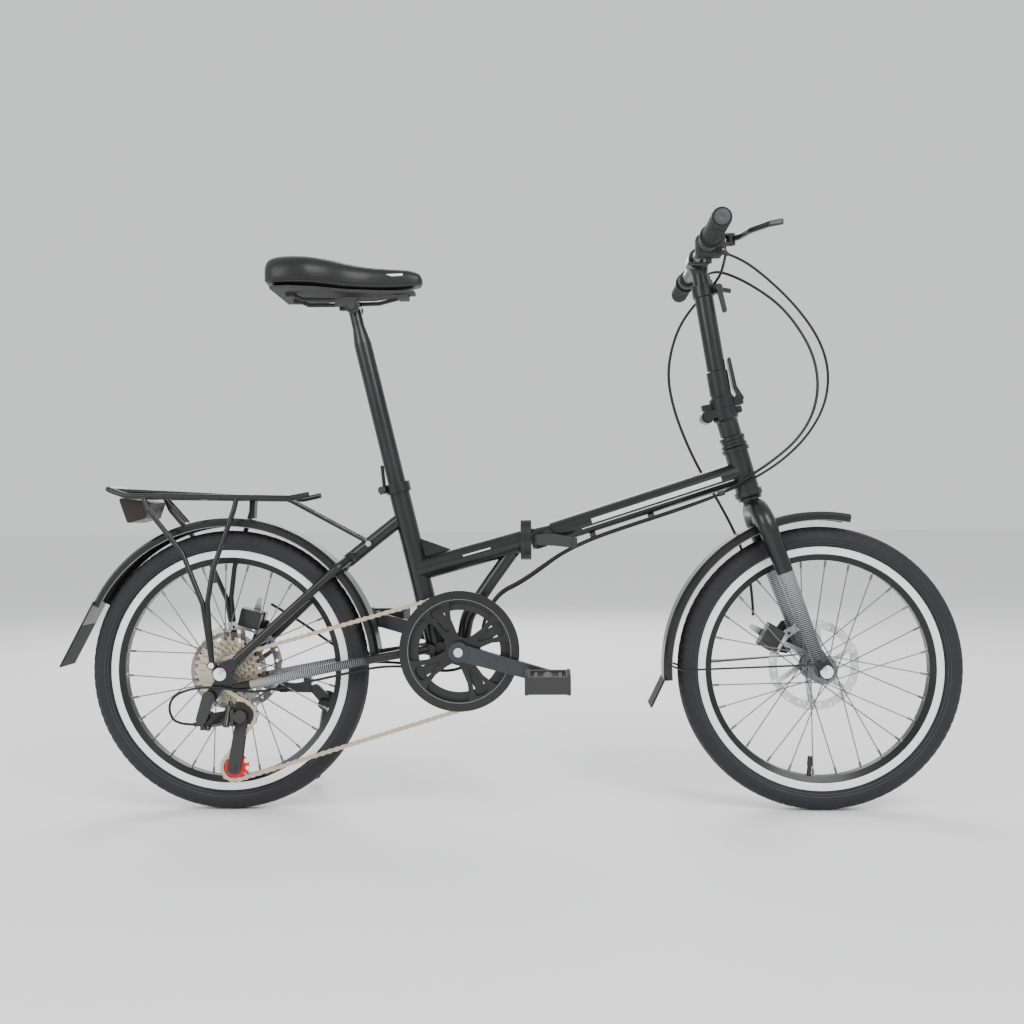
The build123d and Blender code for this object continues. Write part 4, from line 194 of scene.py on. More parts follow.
def material(name):
    """Returns the material of that name, and makes it the first time."""
    if name in bpy.data.materials:
        return bpy.data.materials[name]
    m = Nodes(name)
    c = {
        "paint": (0.0055, 0.0057, 0.0062), "black_plastic": (0.008, 0.008, 0.0085), "gloss_black": (0.005, 0.005, 0.0055),
        "steel": (0.55, 0.55, 0.56), "chrome": (0.72, 0.72, 0.74), "alloy": (0.58, 0.59, 0.60), "dark_alloy": (0.045, 0.047, 0.05),
        "gold_steel": (0.150, 0.130, 0.105), "red": (0.50, 0.010, 0.012), "smoke": (0.10, 0.075, 0.055), "tyre": (0.016, 0.016, 0.0175),
        "grip": (0.007, 0.007, 0.0075), "vinyl": (0.007, 0.007, 0.0075), "cable": (0.006, 0.006, 0.0065), "white_mark": (0.75, 0.75, 0.73),
        "grey_cap": (0.045, 0.047, 0.05), "spoke_steel": (0.16, 0.16, 0.165), "lens": (0.012, 0.006, 0.006), "polished": (0.66, 0.67, 0.69), "amber": (0.9, 0.42, 0.05), "clear": (0.75, 0.77, 0.80),
    }
    if name.startswith("paint"):
        out = finish(m, c["paint"], 0.34, 0.0, 0.45, 0.35, 0.05, 1500)
        if name == "paint_front":
            u, v = m.along(at(590, 487), at(893, 583))
            _, y, _ = m.axes()
            side = m.math("GREATER_THAN", m.math("ABSOLUTE", y), 0.008)
            length = m.band(u, 0.05, 0.285)
            thick = m.math("MULTIPLY", length, m.band(v, -0.0035, 0.0045))
            thin = m.math("MULTIPLY", m.band(u, 0.03, 0.305), m.band(v, -0.0085, -0.0070))
            mask = m.math("MULTIPLY", side, m.math("MAXIMUM", thick, thin))
            overlay(m, mask, (0.62, 0.62, 0.63), 0.4)
        if name == "paint_rear":
            u, v = m.along(at(380, 432), at(505, 466))
            _, y, _ = m.axes()
            side = m.math("GREATER_THAN", m.math("ABSOLUTE", y), 0.010)
            mask = m.math("MULTIPLY", side, m.math("MULTIPLY", m.band(u, 0.035, 0.085), m.band(v, 0.001, 0.0035)))
            overlay(m, mask, (0.6, 0.6, 0.61), 0.4)
        if name in ("paint_stays", "paint_fork"):
            a, b = ((at(52, 226), at(245, 265)), (at(1018, 262), at(962, 413)))[name == "paint_fork"]
            u, v = m.along(a, b)
            far = (b - a).length
            wave = m.math("FRACT", m.math("MULTIPLY", u, 300.0))
            share = m.ramp(u, 0.0, far, 0.85, 0.10) if name == "paint_stays" else m.ramp(u, 0.0, far, 0.12, 0.72)
            stripe = m.math("LESS_THAN", wave, share)
            wide = 0.0078 if name == "paint_stays" else 0.0145
            mask = m.math("MULTIPLY", stripe, m.math("MULTIPLY", m.band(u, 0.0, far), m.band(v, -wide, wide)))
            overlay(m, mask, (0.30, 0.305, 0.32), 0.35, 0.3)
        return out
    if name.startswith("rim"):
        out = finish(m, (0.006, 0.006, 0.0065), 0.32, 0.0, 0.2, 0.3)
        r = m.near(REAR_AXLE if name.endswith("rear") else FRONT_AXLE)
        track = m.math("GREATER_THAN", r, 0.1978)
        turned = m.math("FRACT", m.math("MULTIPLY", r, 1900.0))
        shine = m.mix(m.ramp(turned, 0.0, 1.0, 0.0, 0.35), (0.90, 0.91, 0.92), (0.74, 0.75, 0.77))
        socket = m.bsdf.inputs["Base Color"]
        m.link(m.mix(track, socket.links[0].from_socket, shine), socket)
        m.put(m.bsdf.inputs["Metallic"], m.math("MULTIPLY", track, 0.35))
        return out
    if name.startswith("tyre"):
        out = finish(m, c["tyre"], 0.72, 0.0, 0.0, 0.45, 0.35, 420)
        r = m.near(REAR_AXLE if name.endswith("rear") else FRONT_AXLE)
        bead = m.math("MAXIMUM", m.band(r, 0.2145, 0.2152), m.band(r, 0.2188, 0.2193))
        overlay(m, bead, (0.055, 0.055, 0.057), 0.55)
        dusty = m.math("MULTIPLY", m.math("GREATER_THAN", r, 0.2415), m.ramp(m.noise(35), 0.35, 0.7, 0.15, 0.7))
        overlay(m, dusty, (0.075, 0.072, 0.068), 0.9)
        return out
    if name.startswith("rotor"):
        out = finish(m, c["steel"], 0.26, 1.0, 0.0, 0.2)
        r = m.near(REAR_AXLE if name.endswith("rear") else FRONT_AXLE)
        rings = m.math("FRACT", m.math("MULTIPLY", r, 2600.0))
        worn = m.math("MULTIPLY", m.math("GREATER_THAN", r, 0.066), m.ramp(rings, 0.0, 1.0, 0.15, 0.5))
        overlay(m, worn, (0.78, 0.78, 0.79), 0.2)
        return out
    if name == "mudguard":
        out = finish(m, (0.006, 0.006, 0.0064), 0.34, 0.0, 0.3, 0.4, 0.04, 1100)
        for centre, radius in ((REAR_AXLE, 0.267), (FRONT_AXLE, 0.271)):
            r = m.near(centre)
            overlay(m, m.band(r, radius - 0.0150, radius - 0.0138), (0.16, 0.16, 0.165), 0.4)
            flap = m.math("MULTIPLY", m.band(r, radius + 0.001, radius + 0.05), m.math("LESS_THAN", m.axes()[2], 0.33))
            overlay(m, flap, (0.005, 0.005, 0.005), 0.95)
        return out
    if name == "guard":
        out = finish(m, (0.006, 0.006, 0.0065), 0.30, 0.0, 0.4, 0.3)
        r = m.near(CRANK)
        overlay(m, m.band(r, 0.0878, 0.0886), (0.22, 0.22, 0.225), 0.3, 0.5)
        return out
    if name == "ring_steel":
        out = finish(m, c["gold_steel"], 0.33, 1.0, 0.0, 0.35, 0.08, 700)
        middle = m.math("LESS_THAN", m.near(CRANK), 0.0895)
        overlay(m, middle, (0.006, 0.006, 0.0065), 0.4, 0.0)
        return out
    if name in ("steel", "chrome", "alloy", "dark_alloy", "gold_steel", "polished", "spoke_steel"):
        rough = {"steel": 0.30, "chrome": 0.14, "alloy": 0.34, "dark_alloy": 0.36, "gold_steel": 0.33, "polished": 0.18}.get(name, 0.3)
        return finish(m, c.get(name, c["steel"]), rough, 1.0, 0.0, 0.35, 0.08, 700, (1, 8, 1))
    if name == "crank_arm":
        out = finish(m, (0.055, 0.057, 0.062), 0.38, 0.9, 0.1, 0.3, 0.06, 900)
        return out
    if name in ("red", "amber", "smoke", "clear"):
        out = finish(m, c[name], 0.16, 0.0, 0.5, 0.15)
        x, y, z = m.axes()
        cells = m.math("MULTIPLY", m.math("SINE", m.math("MULTIPLY", m.math("ADD", y, z), 1800.0)),
                       m.math("SINE", m.math("MULTIPLY", m.math("SUBTRACT", y, z), 1800.0)))
        if name in ("red", "amber", "clear"):
            m.bump(cells, 0.5, 0.0006)
        if name == "smoke":
            m.bsdf.inputs["Alpha"].default_value = 0.62
        return out
    if name == "grip":
        out = finish(m, c["grip"], 0.62, 0.0, 0.0, 0.35, 0.5, 1300)
        return out
    if name == "vinyl":
        out = finish(m, c["vinyl"], 0.42, 0.0, 0.12, 0.3)
        v = m.tree.nodes.new("ShaderNodeTexVoronoi")
        v.inputs["Scale"].default_value = 420
        m.link(m.coord, v.inputs["Vector"])
        m.bump(v.outputs["Distance"], 0.22, 0.0006)
        return out
    return finish(m, c.get(name, c["black_plastic"]), {"cable": 0.36, "gloss_black": 0.22, "grey_cap": 0.5}.get(name, 0.46),
                  0.0, 0.3 if name == "gloss_black" else 0.05, 0.35, 0.12, 1200)


# ---- Mesh helpers ----

def new_object(name, bm, mat, body, smooth=30.0, replaces=()):
    """Turns a bmesh into a finished piece that rides on a CAD body."""
    bmesh.ops.recalc_face_normals(bm, faces=bm.faces)
    mesh = bpy.data.meshes.new(name)
    bm.to_mesh(mesh)
    bm.free()
    obj = bpy.data.objects.new(name, mesh)
    bpy.context.scene.collection.objects.link(obj)
    mesh.materials.append(material(mat))
    mesh.shade_smooth()
    mesh.set_sharp_from_angle(angle=radians(smooth))
    if body:
        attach(obj, body)
    if replaces:
        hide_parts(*replaces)
    return obj


def wheel_point(centre, y, r, angle):
    return Vector((centre.x - r * cos(angle), y, centre.z + r * sin(angle)))


def lathe(bm, centre, outline, steps):
    """Spins a closed (side, radius) outline, in metres, once round the lateral axis through centre."""
    verts = [bm.verts.new((centre.x, y, centre.z + r)) for y, r in outline]
    edges = [bm.edges.new((verts[k - 1], verts[k])) for k in range(len(verts))]
    bmesh.ops.spin(bm, geom=verts + edges, cent=(centre.x, 0, centre.z), axis=(0, 1, 0), angle=2 * pi, steps=steps, use_merge=True)
    bmesh.ops.remove_doubles(bm, verts=bm.verts[:], dist=1e-6)


def line_curve(points, kind, depth=0.0, sides=2):
    """The mesh of a curve through (or drawn by) the points, with or without a round section."""
    curve = bpy.data.curves.new("line", "CURVE")
    curve.dimensions = "3D"
    curve.bevel_depth = depth
    curve.bevel_resolution = sides
    curve.use_fill_caps = True
    spline = curve.splines.new(kind)
    spline.points.add(len(points) - 1)
    for point, place in zip(spline.points, points):
        point.co = (*place, 1.0)
    if kind == "NURBS":
        spline.order_u = 3
        spline.use_endpoint_u = True
        spline.resolution_u = 8
    holder = bpy.data.objects.new("line", curve)
    mesh = bpy.data.meshes.new_from_object(holder)
    bpy.data.objects.remove(holder)
    bpy.data.curves.remove(curve)
    return mesh


def smooth_route(points):
    """The points along a route's own smooth line."""
    mesh = line_curve(points, "NURBS")
    out = [v.co.copy() for v in mesh.vertices]
    bpy.data.meshes.remove(mesh)
    return out


def tube_mesh(bm, points, radius, sides=3):
    """A round tube along a list of points."""
    mesh = line_curve([Vector(p) for p in points], "POLY", radius, sides)
    bm.from_mesh(mesh)
    bpy.data.meshes.remove(mesh)
    bmesh.ops.remove_doubles(bm, verts=bm.verts[:], dist=1e-6)


def cylinder(bm, a, b, radius, sides=24, radius_end=None):
    """A capped cylinder or cone from a to b."""
    turn = (b - a).to_track_quat("Z", "Y").to_matrix().to_4x4()
    bmesh.ops.create_cone(bm, cap_ends=True, segments=sides, radius1=radius, radius2=radius if radius_end is None else radius_end,
                          depth=(b - a).length, matrix=Matrix.Translation((a + b) / 2) @ turn)


def block(bm, centre, size, bevel=0.0, turn=None):
    """A box with rounded edges."""
    matrix = Matrix.Translation(centre) @ (turn or Matrix.Identity(4)) @ Matrix.Diagonal((*size, 1))
    made = bmesh.ops.create_cube(bm, size=1.0, matrix=matrix)
    if bevel:
        edges = list({e for v in made["verts"] for e in v.link_edges})
        bmesh.ops.bevel(bm, geom=edges, offset=bevel, offset_type="OFFSET", segments=2, profile=0.5, affect="EDGES", material=-1)


# ---- CAD nodes ----

NODE_MATERIALS = {
    "rear_frame": "paint_rear", "rear_stays": "paint_stays", "front_frame": "paint_front", "fork": "paint_fork",
    "stem_base": "paint", "handlepost": "paint", "inner_post": "paint", "handlebar": "paint", "seatpost": "paint",
    "rear_rack": "paint", "kickstand_bracket": "paint", "kickstand_leg": "paint", "bottom_bracket": "steel",
    "rear_calliper": "gloss_black", "front_calliper": "gloss_black", "tail_reflector": "lens", "rear_mudguard": "mudguard",
    "front_mudguard": "mudguard", "chain": "gold_steel", "frame_bolts": "chrome", "derailleur_mount": "gloss_black",
    "rear_cables": "cable", "front_cables": "cable", "frame_latch": "black_plastic", "front_axle": "chrome",
    "post_latch": "gloss_black", "post_clamp_lever": "black_plastic", "grips": "grip", "bar_controls": "black_plastic",
    "right_brake_lever": "gloss_black", "left_brake_lever": "gloss_black", "shift_lever": "black_plastic",
    "seat_clamp_lever": "black_plastic", "saddle_base": "black_plastic", "saddle_cover": "vinyl",
    "front_tyre": "tyre_front", "rear_tyre": "tyre_rear", "front_rim": "rim_front", "rear_rim": "rim_rear",
    "front_spokes": "spoke_steel", "rear_spokes": "spoke_steel", "front_hub": "dark_alloy", "rear_hub": "dark_alloy",
    "front_rotor": "rotor_front", "rear_rotor": "rotor_rear", "spoke_protector": "smoke", "cassette": "gold_steel",
    "right_crank": "crank_arm", "left_crank": "crank_arm", "chainring": "ring_steel", "chain_guard": "guard",
    "right_pedal": "black_plastic", "left_pedal": "black_plastic", "derailleur_link": "gloss_black",
    "derailleur_knuckle": "gloss_black", "derailleur_cage": "black_plastic", "guide_pulley": "black_plastic", "tension_pulley": "red",
    "front_calliper_arm": "steel", "rear_calliper_arm": "steel",
}
BEVELLED = {
    "chain_guard": 0.0009, "right_crank": 0.0016, "left_crank": 0.0016, "right_pedal": 0.0009, "left_pedal": 0.0009,
    "rear_frame": 0.0006, "front_frame": 0.0006, "stem_base": 0.0006, "handlepost": 0.0006, "frame_latch": 0.0010,
    "front_calliper": 0.0008, "rear_calliper": 0.0008, "post_latch": 0.0008, "kickstand_bracket": 0.0007,
    "derailleur_mount": 0.0006, "derailleur_knuckle": 0.0006, "derailleur_link": 0.0006, "rear_stays": 0.0005,
}


def dress_nodes():
    """Gives every CAD node its material, smooth shading and small bevels."""
    for name, node in NODES.items():
        mesh = node.data
        mesh.materials.clear()
        mesh.materials.append(material(NODE_MATERIALS[name]))
        mesh.shade_smooth()
        mesh.set_sharp_from_angle(angle=radians(28))
        if name in BEVELLED:
            if name == "chain_guard":
                mesh.materials.append(material("polished"))
            bevel = node.modifiers.new("Bevel", "BEVEL")
            bevel.width = BEVELLED[name]
            bevel.segments = 2
            bevel.limit_method = "ANGLE"
            bevel.angle_limit = radians(40)
            bevel.harden_normals = True
            if name == "chain_guard":
                bevel.material = 1


# ---- Wheels ----

def tyre_outline():
    """(side, radius) points of half a tyre from the bead to the crown, and of its inside."""
    half = [(11.2, 204.0), (11.2, 211.0), (13.2, 211.3), (15.5, 212.4), (18.4, 214.0), (20.9, 216.4), (22.6, 219.4), (23.4, 222.4),
            (23.5, 225.4), (23.0, 228.6), (22.0, 231.6), (20.6, 234.5), (18.8, 237.3), (16.6, 239.6), (14.2, 241.2), (11.4, 242.6),
            (9.8, 243.2), (9.4, 243.3), (6.4, 244.1), (3.4, 244.6), (2.9, 244.65), (1.6, 244.8), (1.2, 244.9)]
    inner = [(8.2, 204.0), (8.2, 212.2), (17.0, 215.4), (20.3, 224.0), (18.0, 233.0), (12.0, 239.0), (0.0, 241.0)]
    return half, inner


def tread_cut(y, r, angle):
    """How deep the tread is cut at a place on the tyre, in millimetres."""
    side = abs(y)
    if hypot(side, r - 221.4) < 22 or r < 231 or side > 22.4:
        return 0.0
    phase = (angle / (2 * pi) * 90 + (0.5 if y < 0 else 0.0)) % 1.0
    if side > 16:
        return 1.3 if phase < 0.28 else 0.0
    if side > 10.6:
        return 1.3 if 0.10 < phase < 0.34 else 0.0
    if side > 9 or 1.4 < side < 3.0:
        return 1.5
    return 1.2 if 0.62 < phase < 0.80 else 0.0


def build_tyre(name, centre, body):
    half, inner = tyre_outline()
    outline = [(y, r) for y, r in half] + [(-y, r) for y, r in reversed(half)]
    outline += [(-y, r) for y, r in inner] + [(y, r) for y, r in reversed(inner[:-1])]
    bm = bmesh.new()
    lathe(bm, centre, [(y / 1000, r / 1000) for y, r in outline], 540)
    for vert in bm.verts:
        flat = Vector((vert.co.x - centre.x, 0, vert.co.z - centre.z))
        cut = tread_cut(vert.co.y * 1000, flat.length * 1000, atan2(flat.z, -flat.x) + pi / 1080)
        vert.co -= flat.normalized() * (cut / 1000)
    obj = new_object(name, bm, "tyre_rear" if "rear" in name else "tyre_front", body, 38, (name.replace("_shell", ""),))
    valve_angle = radians(100 if "rear" in name else -96)
    bm = bmesh.new()
    out = wheel_point(Vector((0, 0, 0)), 0, 1, valve_angle)
    place = Vector((centre.x, 0, centre.z))
    cylinder(bm, place + out * 0.204, place + out * 0.156, 0.0039, 20)
    cylinder(bm, place + out * 0.170, place + out * 0.1545, 0.0049, 20)
    cap = new_object(name.replace("_tyre_shell", "_valve"), bm, "black_plastic", body)
    return obj, cap


def build_rim_details(prefix, centre, body, first_angle):
    """Eyelets where the nipples enter the rim."""
    bm = bmesh.new()
    for k in range(28):
        a = radians(first_angle + k * 360 / 28)
        side = 0.0025 if k % 2 == 0 else -0.0025
        inner = wheel_point(centre, side, 0.1860, a)
        outer = wheel_point(centre, side, 0.1880, a)
        cylinder(bm, inner, outer, 0.0036, 12)
    new_object(prefix + "_eyelets", bm, "chrome", body)


# ---- Chain ----

PITCH = 12.7
CHAIN_SIDE = 52.0


def pitch_radius(teeth):
    return PITCH / 2 / sin(pi / teeth)


CHAIN_CIRCLES = [((409.0, 282.0), 48, 1), ((20.0, 83.0), 11, 1), ((35.0, 173.0), 11, -1), ((0.0, 245.0), 11, 1)]


def chain_path():
    """Runs and arcs of the pitch line in (ahead, up), as in the CAD."""
    def tangent(ca, ra, cb, rb):
        dx, dz = cb[0] - ca[0], cb[1] - ca[1]
        t = atan2(dz, dx) - asin((ra - rb) / hypot(dx, dz))
        nx, nz = -sin(t), cos(t)
        return (ca[0] + ra * nx, ca[1] + ra * nz), (cb[0] + rb * nx, cb[1] + rb * nz)
    runs = []
    for k in range(4):
        ca, ta, sa = CHAIN_CIRCLES[k]
        cb, tb, sb = CHAIN_CIRCLES[(k + 1) % 4]
        runs.append(tangent(ca, pitch_radius(ta) * sa, cb, pitch_radius(tb) * sb))
    pieces = []
    for k in range(4):
        c, teeth, sense = CHAIN_CIRCLES[(k + 1) % 4]
        pieces.append(("run", runs[k][0], runs[k][1]))
        p, q = runs[k][1], runs[(k + 1) % 4][0]
        a0 = atan2(p[1] - c[1], p[0] - c[0])
        turn = (atan2(q[1] - c[1], q[0] - c[0]) - a0) % (2 * pi)
        pieces.append(("arc", c, teeth, a0, turn - 2 * pi if sense > 0 else turn))
    return pieces


def chain_points():
    pieces = chain_path()
    arcs = sum(abs(p[4]) * p[2] / (2 * pi) for p in pieces if p[0] == "arc")
    total = sum(hypot(p[2][0] - p[1][0], p[2][1] - p[1][1]) for p in pieces if p[0] == "run")
    links = round(arcs + total / PITCH)
    step = total / (links - arcs)
    points, start = [], 0.0
    k = 0
    for p in pieces:
        far = hypot(p[2][0] - p[1][0], p[2][1] - p[1][1]) / step if p[0] == "run" else abs(p[4]) * p[2] / (2 * pi)
        while k < links and k <= start + far:
            t = (k - start) / far
            if p[0] == "run":
                points.append((p[1][0] + (p[2][0] - p[1][0]) * t, p[1][1] + (p[2][1] - p[1][1]) * t))
            else:
                a = p[3] + p[4] * t
                points.append((p[1][0] + pitch_radius(p[2]) * cos(a), p[1][1] + pitch_radius(p[2]) * sin(a)))
            k += 1
        start += far
    return points


def link_plate(bm, side, thick, radius):
    """One waisted side plate along +X, with its first pin at the origin."""
    made = bmesh.ops.create_circle(bm, cap_ends=True, segments=20, radius=radius, matrix=Matrix.Rotation(radians(90), 4, "X"))
    for vert in made["verts"]:
        if abs(vert.co.x) < radius * 0.01:
            vert.co.z *= 0.62
            vert.co.x = PITCH / 2
        elif vert.co.x > 0:
            vert.co.x += PITCH
        vert.co.y = side - thick / 2
    grown = bmesh.ops.extrude_face_region(bm, geom=list({f for v in made["verts"] for f in v.link_faces}), use_keep_orig=True)
    top = [v for v in grown["geom"] if isinstance(v, bmesh.types.BMVert)]
    bmesh.ops.translate(bm, verts=top, vec=(0, thick, 0))


def link_mesh(offset):
    """One link with its plates, pin and roller, in millimetres about its first pin."""
    bm = bmesh.new()
    for s in (-1, 1):
        link_plate(bm, s * offset, 0.9, 4.1)
    cylinder(bm, Vector((0, -3.9, 0)), Vector((0, 3.9, 0)), 1.8, 10)
    cylinder(bm, Vector((0, -1.7, 0)), Vector((0, 1.7, 0)), 3.6, 14)
    mesh = bpy.data.meshes.new("link")
    bm.to_mesh(mesh)
    bm.free()
    return mesh


def build_chain():
    points = chain_points()
    links = (link_mesh(2.2), link_mesh(3.25))
    bm = bmesh.new()
    for k, a in enumerate(points):
        b = points[(k + 1) % len(points)]
        first, second = at(a[0], a[1], CHAIN_SIDE), at(b[0], b[1], CHAIN_SIDE)
        run = second - first
        turn = Matrix.Rotation(-atan2(run.z, run.x), 4, "Y")
        size = Matrix.Diagonal((run.length / PITCH, 0.001, 0.001, 1))
        before = len(bm.verts)
        bm.from_mesh(links[k % 2])
        bm.verts.ensure_lookup_table()
        bmesh.ops.transform(bm, matrix=Matrix.Translation(first) @ turn @ size, verts=bm.verts[before:])
    new_object("chain_links", bm, "gold_steel", "rear_frame", 35, ("chain",))


# ---- Cables ----

LOOPS = {
    "shift": (0.0022, [(863.56, 944.8, 94.84), (888.0, 940.8, 78.5), (928, 915, 68), (979, 868, 62), (1022, 812, 54), (1042, 757, 44),
              (1038, 700, 34), (1010, 648, 28), (968, 606, 25), (918, 574, 24.5), (866, 550, 25), (810, 530, 12), (752, 511, 5),
              (696, 493, 5), (640, 474, 5), (586, 449, 5), (550, 424, 0)]),
    "rear_brake": (0.0025, [(856.4, 955, -107.7), (864.4, 955, -79.0), (890, 950, -76), (930, 926, -62), (976, 888, -46), (1008, 842, -32),
                   (1030, 792, -18), (1036, 738, -6), (1024, 686, 4), (994, 641, 16), (950, 605, 29), (906, 576, 32), (862, 548, 31),
                   (808, 527, 19), (752, 508, -3), (696, 490, -4), (640, 471, -4), (586, 446, -4), (550, 419, -7)]),
    "front_brake": (0.0025, [(856.4, 955, 107.7), (864.4, 955, 79.0), (866, 943, 42), (865, 929, 8), (852, 912, -22), (826, 888, -37),
                    (800, 853, -42), (784, 809, -48), (778, 760, -54), (788, 706, -60), (808, 650, -62), (834, 594, -64),
                    (868, 538, -69), (898, 482, -73.5), (920, 425, -74.5), (929, 368, -73), (930, 330, -72)]),
}
REAR_RUNS = {
    "shift": [(512, 398, 2), (474, 380, 5), (450, 340, 6), (442, 298, 7), (434, 258, 8), (392, 240, 9), (350, 245, 12),
              (310, 253, 28), (262, 253, 40), (200, 240, 47), (130, 226, 55), (70, 214, 65), (38, 218, 78.5), (-8, 225, 79),
              (-50, 221, 73), (-84, 207, 65), (-94, 182, 58), (-82, 156.9, 55), (-51, 156.9, 55)],
    "rear_brake": [(512, 393, -7), (476, 376, -7), (451, 338, -7), (443, 297, -7), (434, 257, -8), (392, 239, -8), (350, 242, -10),
                   (310, 250, -28), (272, 251, -45), (226, 249, -62), (172, 276, -69), (118, 315, -71), (76, 341, -72),
                   (52.5, 354.6, -72.7)],
}


def cable_piece(name, points, radius, body=None, bend=None, replaces=()):
    """One stretch of a cable; bend is (body a, body b, start point, end point), of which only whether it is given is
    used: such a stretch rides on no body.
    """
    bm = bmesh.new()
    tube_mesh(bm, points, radius)
    obj = new_object(name, bm, "cable", body, 60, ())
    if bend:
        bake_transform(obj)
    if replaces:
        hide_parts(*replaces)
    return obj


def nearest(points, ahead, up, low=0):
    """The index of the point nearest to a place in the side view, at or after low."""
    target = at(ahead, up)
    return min(range(low, len(points)), key=lambda k: (points[k].x - target.x) ** 2 + (points[k].z - target.z) ** 2)


def build_cables():
    """Each loop is cut where it passes from one moving body to the next."""
    for name, (radius, route) in LOOPS.items():
        whole = [at(*p) for p in route] + ([at(*p) for p in REAR_RUNS[name]] if name in REAR_RUNS else [])
        line = smooth_route(whole)
        if name == "front_brake":
            a = nearest(line, 800, 853)
            b = nearest(line, 868, 538)
            cable_piece(name + "_cable_top", line[:a + 1], radius, None, ("inner_post", "handlepost", line[3], line[a]), ("front_cables",))
            cable_piece(name + "_cable_loop", line[a:b + 1], radius, None, ("handlepost", "fork", line[a], line[b]))
            cable_piece(name + "_cable_leg", line[b:], radius, "fork")
            continue
        a = nearest(line, 985, 862 if name == "shift" else 878)
        b = nearest(line, 1036, 740, a)
        c = nearest(line, 866, 549, b)
        d = nearest(line, 590, 451, c)
        e = nearest(line, 476, 380, d)
        cable_piece(name + "_cable_top", line[:a + 1], radius, None, ("inner_post", "handlepost", line[3], line[a]))
        cable_piece(name + "_cable_loop", line[a:b + 1], radius, None, ("handlepost", "fork", line[a], line[b]))
        cable_piece(name + "_cable_low", line[b:c + 1], radius, None, ("fork", "front_frame", line[b], line[c]))
        cable_piece(name + "_cable_tube", line[c:d + 1], radius, "front_frame")
        cable_piece(name + "_cable_hinge", line[d:e + 1], radius, None, ("front_frame", "rear_frame", line[d], line[e]))
        cable_piece(name + "_cable_rear", line[e:], radius, "rear_frame", None, ("rear_cables",) if name == "shift" else ())
    bm = bmesh.new()
    for ahead in (860, 742, 640):
        u = 471 - 4 + (ahead - 523) * 0.3153 - 20.5
        lift = Vector((0, 0, 0.0045))
        for y in (24 if ahead > 800 else 5, 30 if ahead > 800 else -4):
            centre = at(ahead, u, y)
            cylinder(bm, centre + Vector((0.005, 0, -0.0015)) - lift, centre - Vector((0.005, 0, -0.0015)) - lift, 0.0042, 14)
    new_object("cable_guides", bm, "black_plastic", "front_frame")


# ---- Touch points ----

def build_grips():
    """Ribbed rubber grips with a flange and a grey end disc."""
    bar = at(826.3, 955)
    for s, name in ((1, "right"), (-1, "left")):
        profile = [(172.0, 11.2), (172.0, 18.4), (173.0, 19.0), (175.6, 19.0), (176.4, 18.2), (177.0, 15.0)]
        y = 178.0
        while y < 276:
            profile += [(y, 15.9), (y + 2.0, 15.9), (y + 2.5, 14.6), (y + 3.4, 14.6)]
            y += 3.9
        profile += [(278, 15.4), (284, 15.8), (287.5, 15.4), (288.2, 14.0), (288.2, 11.2)]
        bm = bmesh.new()
        lathe(bm, bar, [(s * a / 1000, r / 1000) for a, r in profile], 40)
        new_object(name + "_grip", bm, "grip", "inner_post", 40, ("grips",) if s > 0 else ())
        bm = bmesh.new()
        ends = [(284.0, 0.3), (289.0, 0.3), (289.9, 4.0), (290.0, 9.0), (289.2, 12.0), (287.0, 12.4), (284.0, 12.0)]
        lathe(bm, bar, [(s * a / 1000, r / 1000) for a, r in ends], 40)
        new_object(name + "_grip_end", bm, "grey_cap", "inner_post", 40)


SADDLE = [  # ahead, top, bottom edge, half width
    (71, 951, 926, 30), (76, 960, 917, 54), (86, 966, 911, 68), (104, 969.5, 909.5, 76), (130, 970.5, 909.2, 79), (156, 968.5, 909.2, 75.5),
    (184, 964, 909.2, 62), (212, 957.5, 909.4, 44), (240, 952.5, 909.8, 32), (268, 949.5, 910.5, 26), (296, 947.5, 911.5, 23),
    (320, 945.5, 913.5, 20.5), (336, 941, 917, 17), (344, 935, 921, 11)]


def saddle_section(t):
    """(ahead, top, low, half width) of the saddle at t from 0, the tail, to 1, the nose."""
    place = t * (len(SADDLE) - 1)
    k = min(int(place), len(SADDLE) - 2)
    f = place - k
    p0, p1, p2, p3 = (SADDLE[max(0, min(len(SADDLE) - 1, k + d))] for d in (-1, 0, 1, 2))
    return [0.5 * (2 * b + (c - a) * f + (2 * a - 5 * b + 4 * c - d) * f * f + (3 * b - a - 3 * c + d) * f ** 3)
            for a, b, c, d in zip(p0, p1, p2, p3)]


def saddle_point(t, turn):
    """A place on the cover: t along it, and turn round its section, 0 on the right side and a quarter on top."""
    ahead, top, low, half = saddle_section(t)
    mid = low + (top - low) * 0.36
    c, s = cos(turn), sin(turn)
    y = half * abs(c) ** 0.62 * (1 if c >= 0 else -1)
    if s < 0:
        return at(ahead, mid - (mid - low) * abs(s) ** 0.45, y)
    z = mid + (top - mid) * s ** 0.9
    edge = abs(y) / half
    z -= 1.6 * max(0.0, 1 - abs(edge - 0.62) / 0.07) * min(1.0, half / 40)
    z -= 2.4 * max(0.0, 1 - edge / 0.22) * min(1.0, half / 60)
    return at(ahead, z, y)


